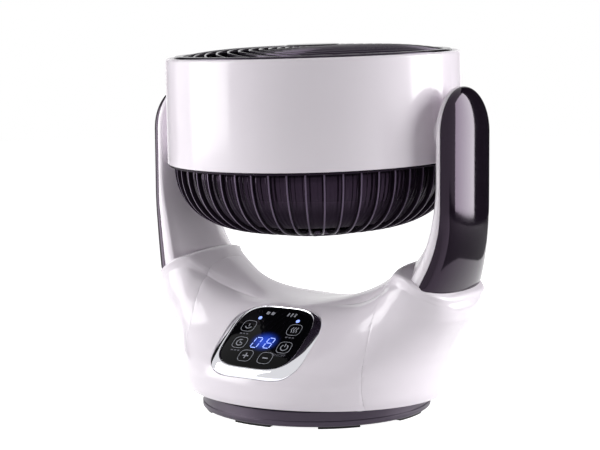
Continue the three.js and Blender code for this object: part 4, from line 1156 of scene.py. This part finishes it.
# ---- Rear hub cap ----------------------------------------------------------------------------
# A flat black plastic cap over the motor's end. Three cross-head steel screws hold it to the
# rear grille's hub.
cap_top = -rear_depth - 0.3
rear_cap = turned("rear_cap", above(
    cap_top, (0, -2.5), (14, -2.5), (14.6, -1.9), (26, -1.9), (26.6, -2.5), (42.4, -2.5),
    (44, -1.2), (44, 0), (0, 0)))
softened(rear_cap, 0.2, angle=30)
in_head(rear_cap)
finished(rear_cap, grille_black)
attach(rear_cap, "head")
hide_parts("rear_hub_cap")

screw_circle, screw_head = 34, 3.2
for i in range(3):
    angle = (i + 0.5) * 2 * math.pi / 3
    screw = turned(f"cap_screw_{i + 1}", above(
        cap_top, (0, -3.8), (1.8, -3.7), (screw_head, -2.9), (screw_head, -2.5), (1.6, -2.5),
        (1.6, 6), (0, 6)), 32)
    for turn in (0, math.pi / 2):
        bpy.ops.object.select_all(action="DESELECT")
        bpy.ops.mesh.primitive_cube_add(size=1, location=(0, 0, (cap_top - 3.8) * MM),
                                        rotation=(0, 0, turn), scale=(3.4 * MM, 0.8 * MM, 1.8 * MM))
        slot_cutter = bpy.context.object
        combined(screw, "DIFFERENCE", slot_cutter)
    settled(screw, Vector((math.cos(angle), math.sin(angle), 0)) * screw_circle * MM)
    smoothed(screw, 35)
    in_head(screw)
    finished(screw, zinc)
    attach(screw, "head")
    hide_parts(f"hub_screw_{i + 1}")

# ---- Air path --------------------------------------------------------------------------------
# A black plastic duct inside the drum, with a flange at its rear, and the pod behind the impeller
# that holds the motor.
duct_radius, duct_wall, duct_flange, duct_top = 112, 2, 123.8, 52
duct = turned("duct", [
    (duct_radius, drum_low), (duct_flange, drum_low), (duct_flange, drum_low + duct_wall),
    (duct_radius + duct_wall, drum_low + duct_wall), (duct_radius + duct_wall, duct_top - 0.6),
    (duct_radius + duct_wall - 0.6, duct_top), (duct_radius + 0.6, duct_top),
    (duct_radius, duct_top - 0.6)], 160)
softened(duct, 0.2)
in_head(duct)
finished(duct, black_gloss)
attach(duct, "head")
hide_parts("inner_duct")
finish_nodes(black_gloss, "motor_pod")

# ---- Impeller --------------------------------------------------------------------------------
# A black plastic fan wheel: seven swept blades on a hollow hub. A spinner nut holds it on the
# motor's shaft.
hub_radius, tip_radius = 30, 109
hub_rear, hub_front = -26, 16
blade_count, blade_thick = 7, 2.2
span_steps, chord_steps = 14, 10

blade_rows = []
for k in range(span_steps + 1):
    share = k / span_steps
    radius = mix(hub_radius - 2, tip_radius, share)
    sweep = math.radians(mix(62, 34, share))
    middle = math.radians(14) * share
    upper, lower = [], []
    for i in range(chord_steps + 1):
        chord = i / chord_steps
        angle = middle + sweep * (chord - 0.5)
        z = mix(hub_rear + 4, hub_front - 4, chord) + 3 * math.sin(chord * math.pi)
        thick = blade_thick * (0.25 + 0.75 * math.sin(chord * math.pi) ** 0.7)
        x, y = radius * math.cos(angle), radius * math.sin(angle)
        upper.append((x, y, z + thick / 2))
        lower.append((x, y, z - thick / 2))
    blade_rows.append(upper + lower[::-1])
blade = skinned("blades", blade_rows, ends=(True, True))
smoothed(blade, 50)
all_round(blade, blade_count)
rotor_hub = turned("rotor_hub", [
    (4.3, hub_front), (hub_radius - 5, hub_front), (hub_radius - 1.5, hub_front - 1.5),
    (hub_radius, hub_front - 5), (hub_radius, hub_rear), (hub_radius - 2.5, hub_rear),
    (hub_radius - 2.5, hub_front - 6), (hub_radius - 6, hub_front - 3), (9.3, hub_front - 3),
    (9.3, hub_rear + 8), (4.3, hub_rear + 8)], 96)
softened(rotor_hub, 0.4, angle=35)
impeller = joined(blade, rotor_hub)
impeller.name = impeller.data.name = "fan_wheel"
in_head(impeller)
finished(impeller, grille_black)
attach(impeller, "rotor")
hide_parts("impeller")

nut_low = hub_front + 0.3
nut = turned("spinner", above(
    nut_low, (4.3, 0), (12, 0), (11.4, 3), (10, 8), (8, 10), (5, 11.4), (0, 12), (0, 8),
    (4.3, 8)), 64)
softened(nut, 0.3)
in_head(nut)
finished(nut, grille_black)
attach(nut, "rotor")
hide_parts("spinner_nut")
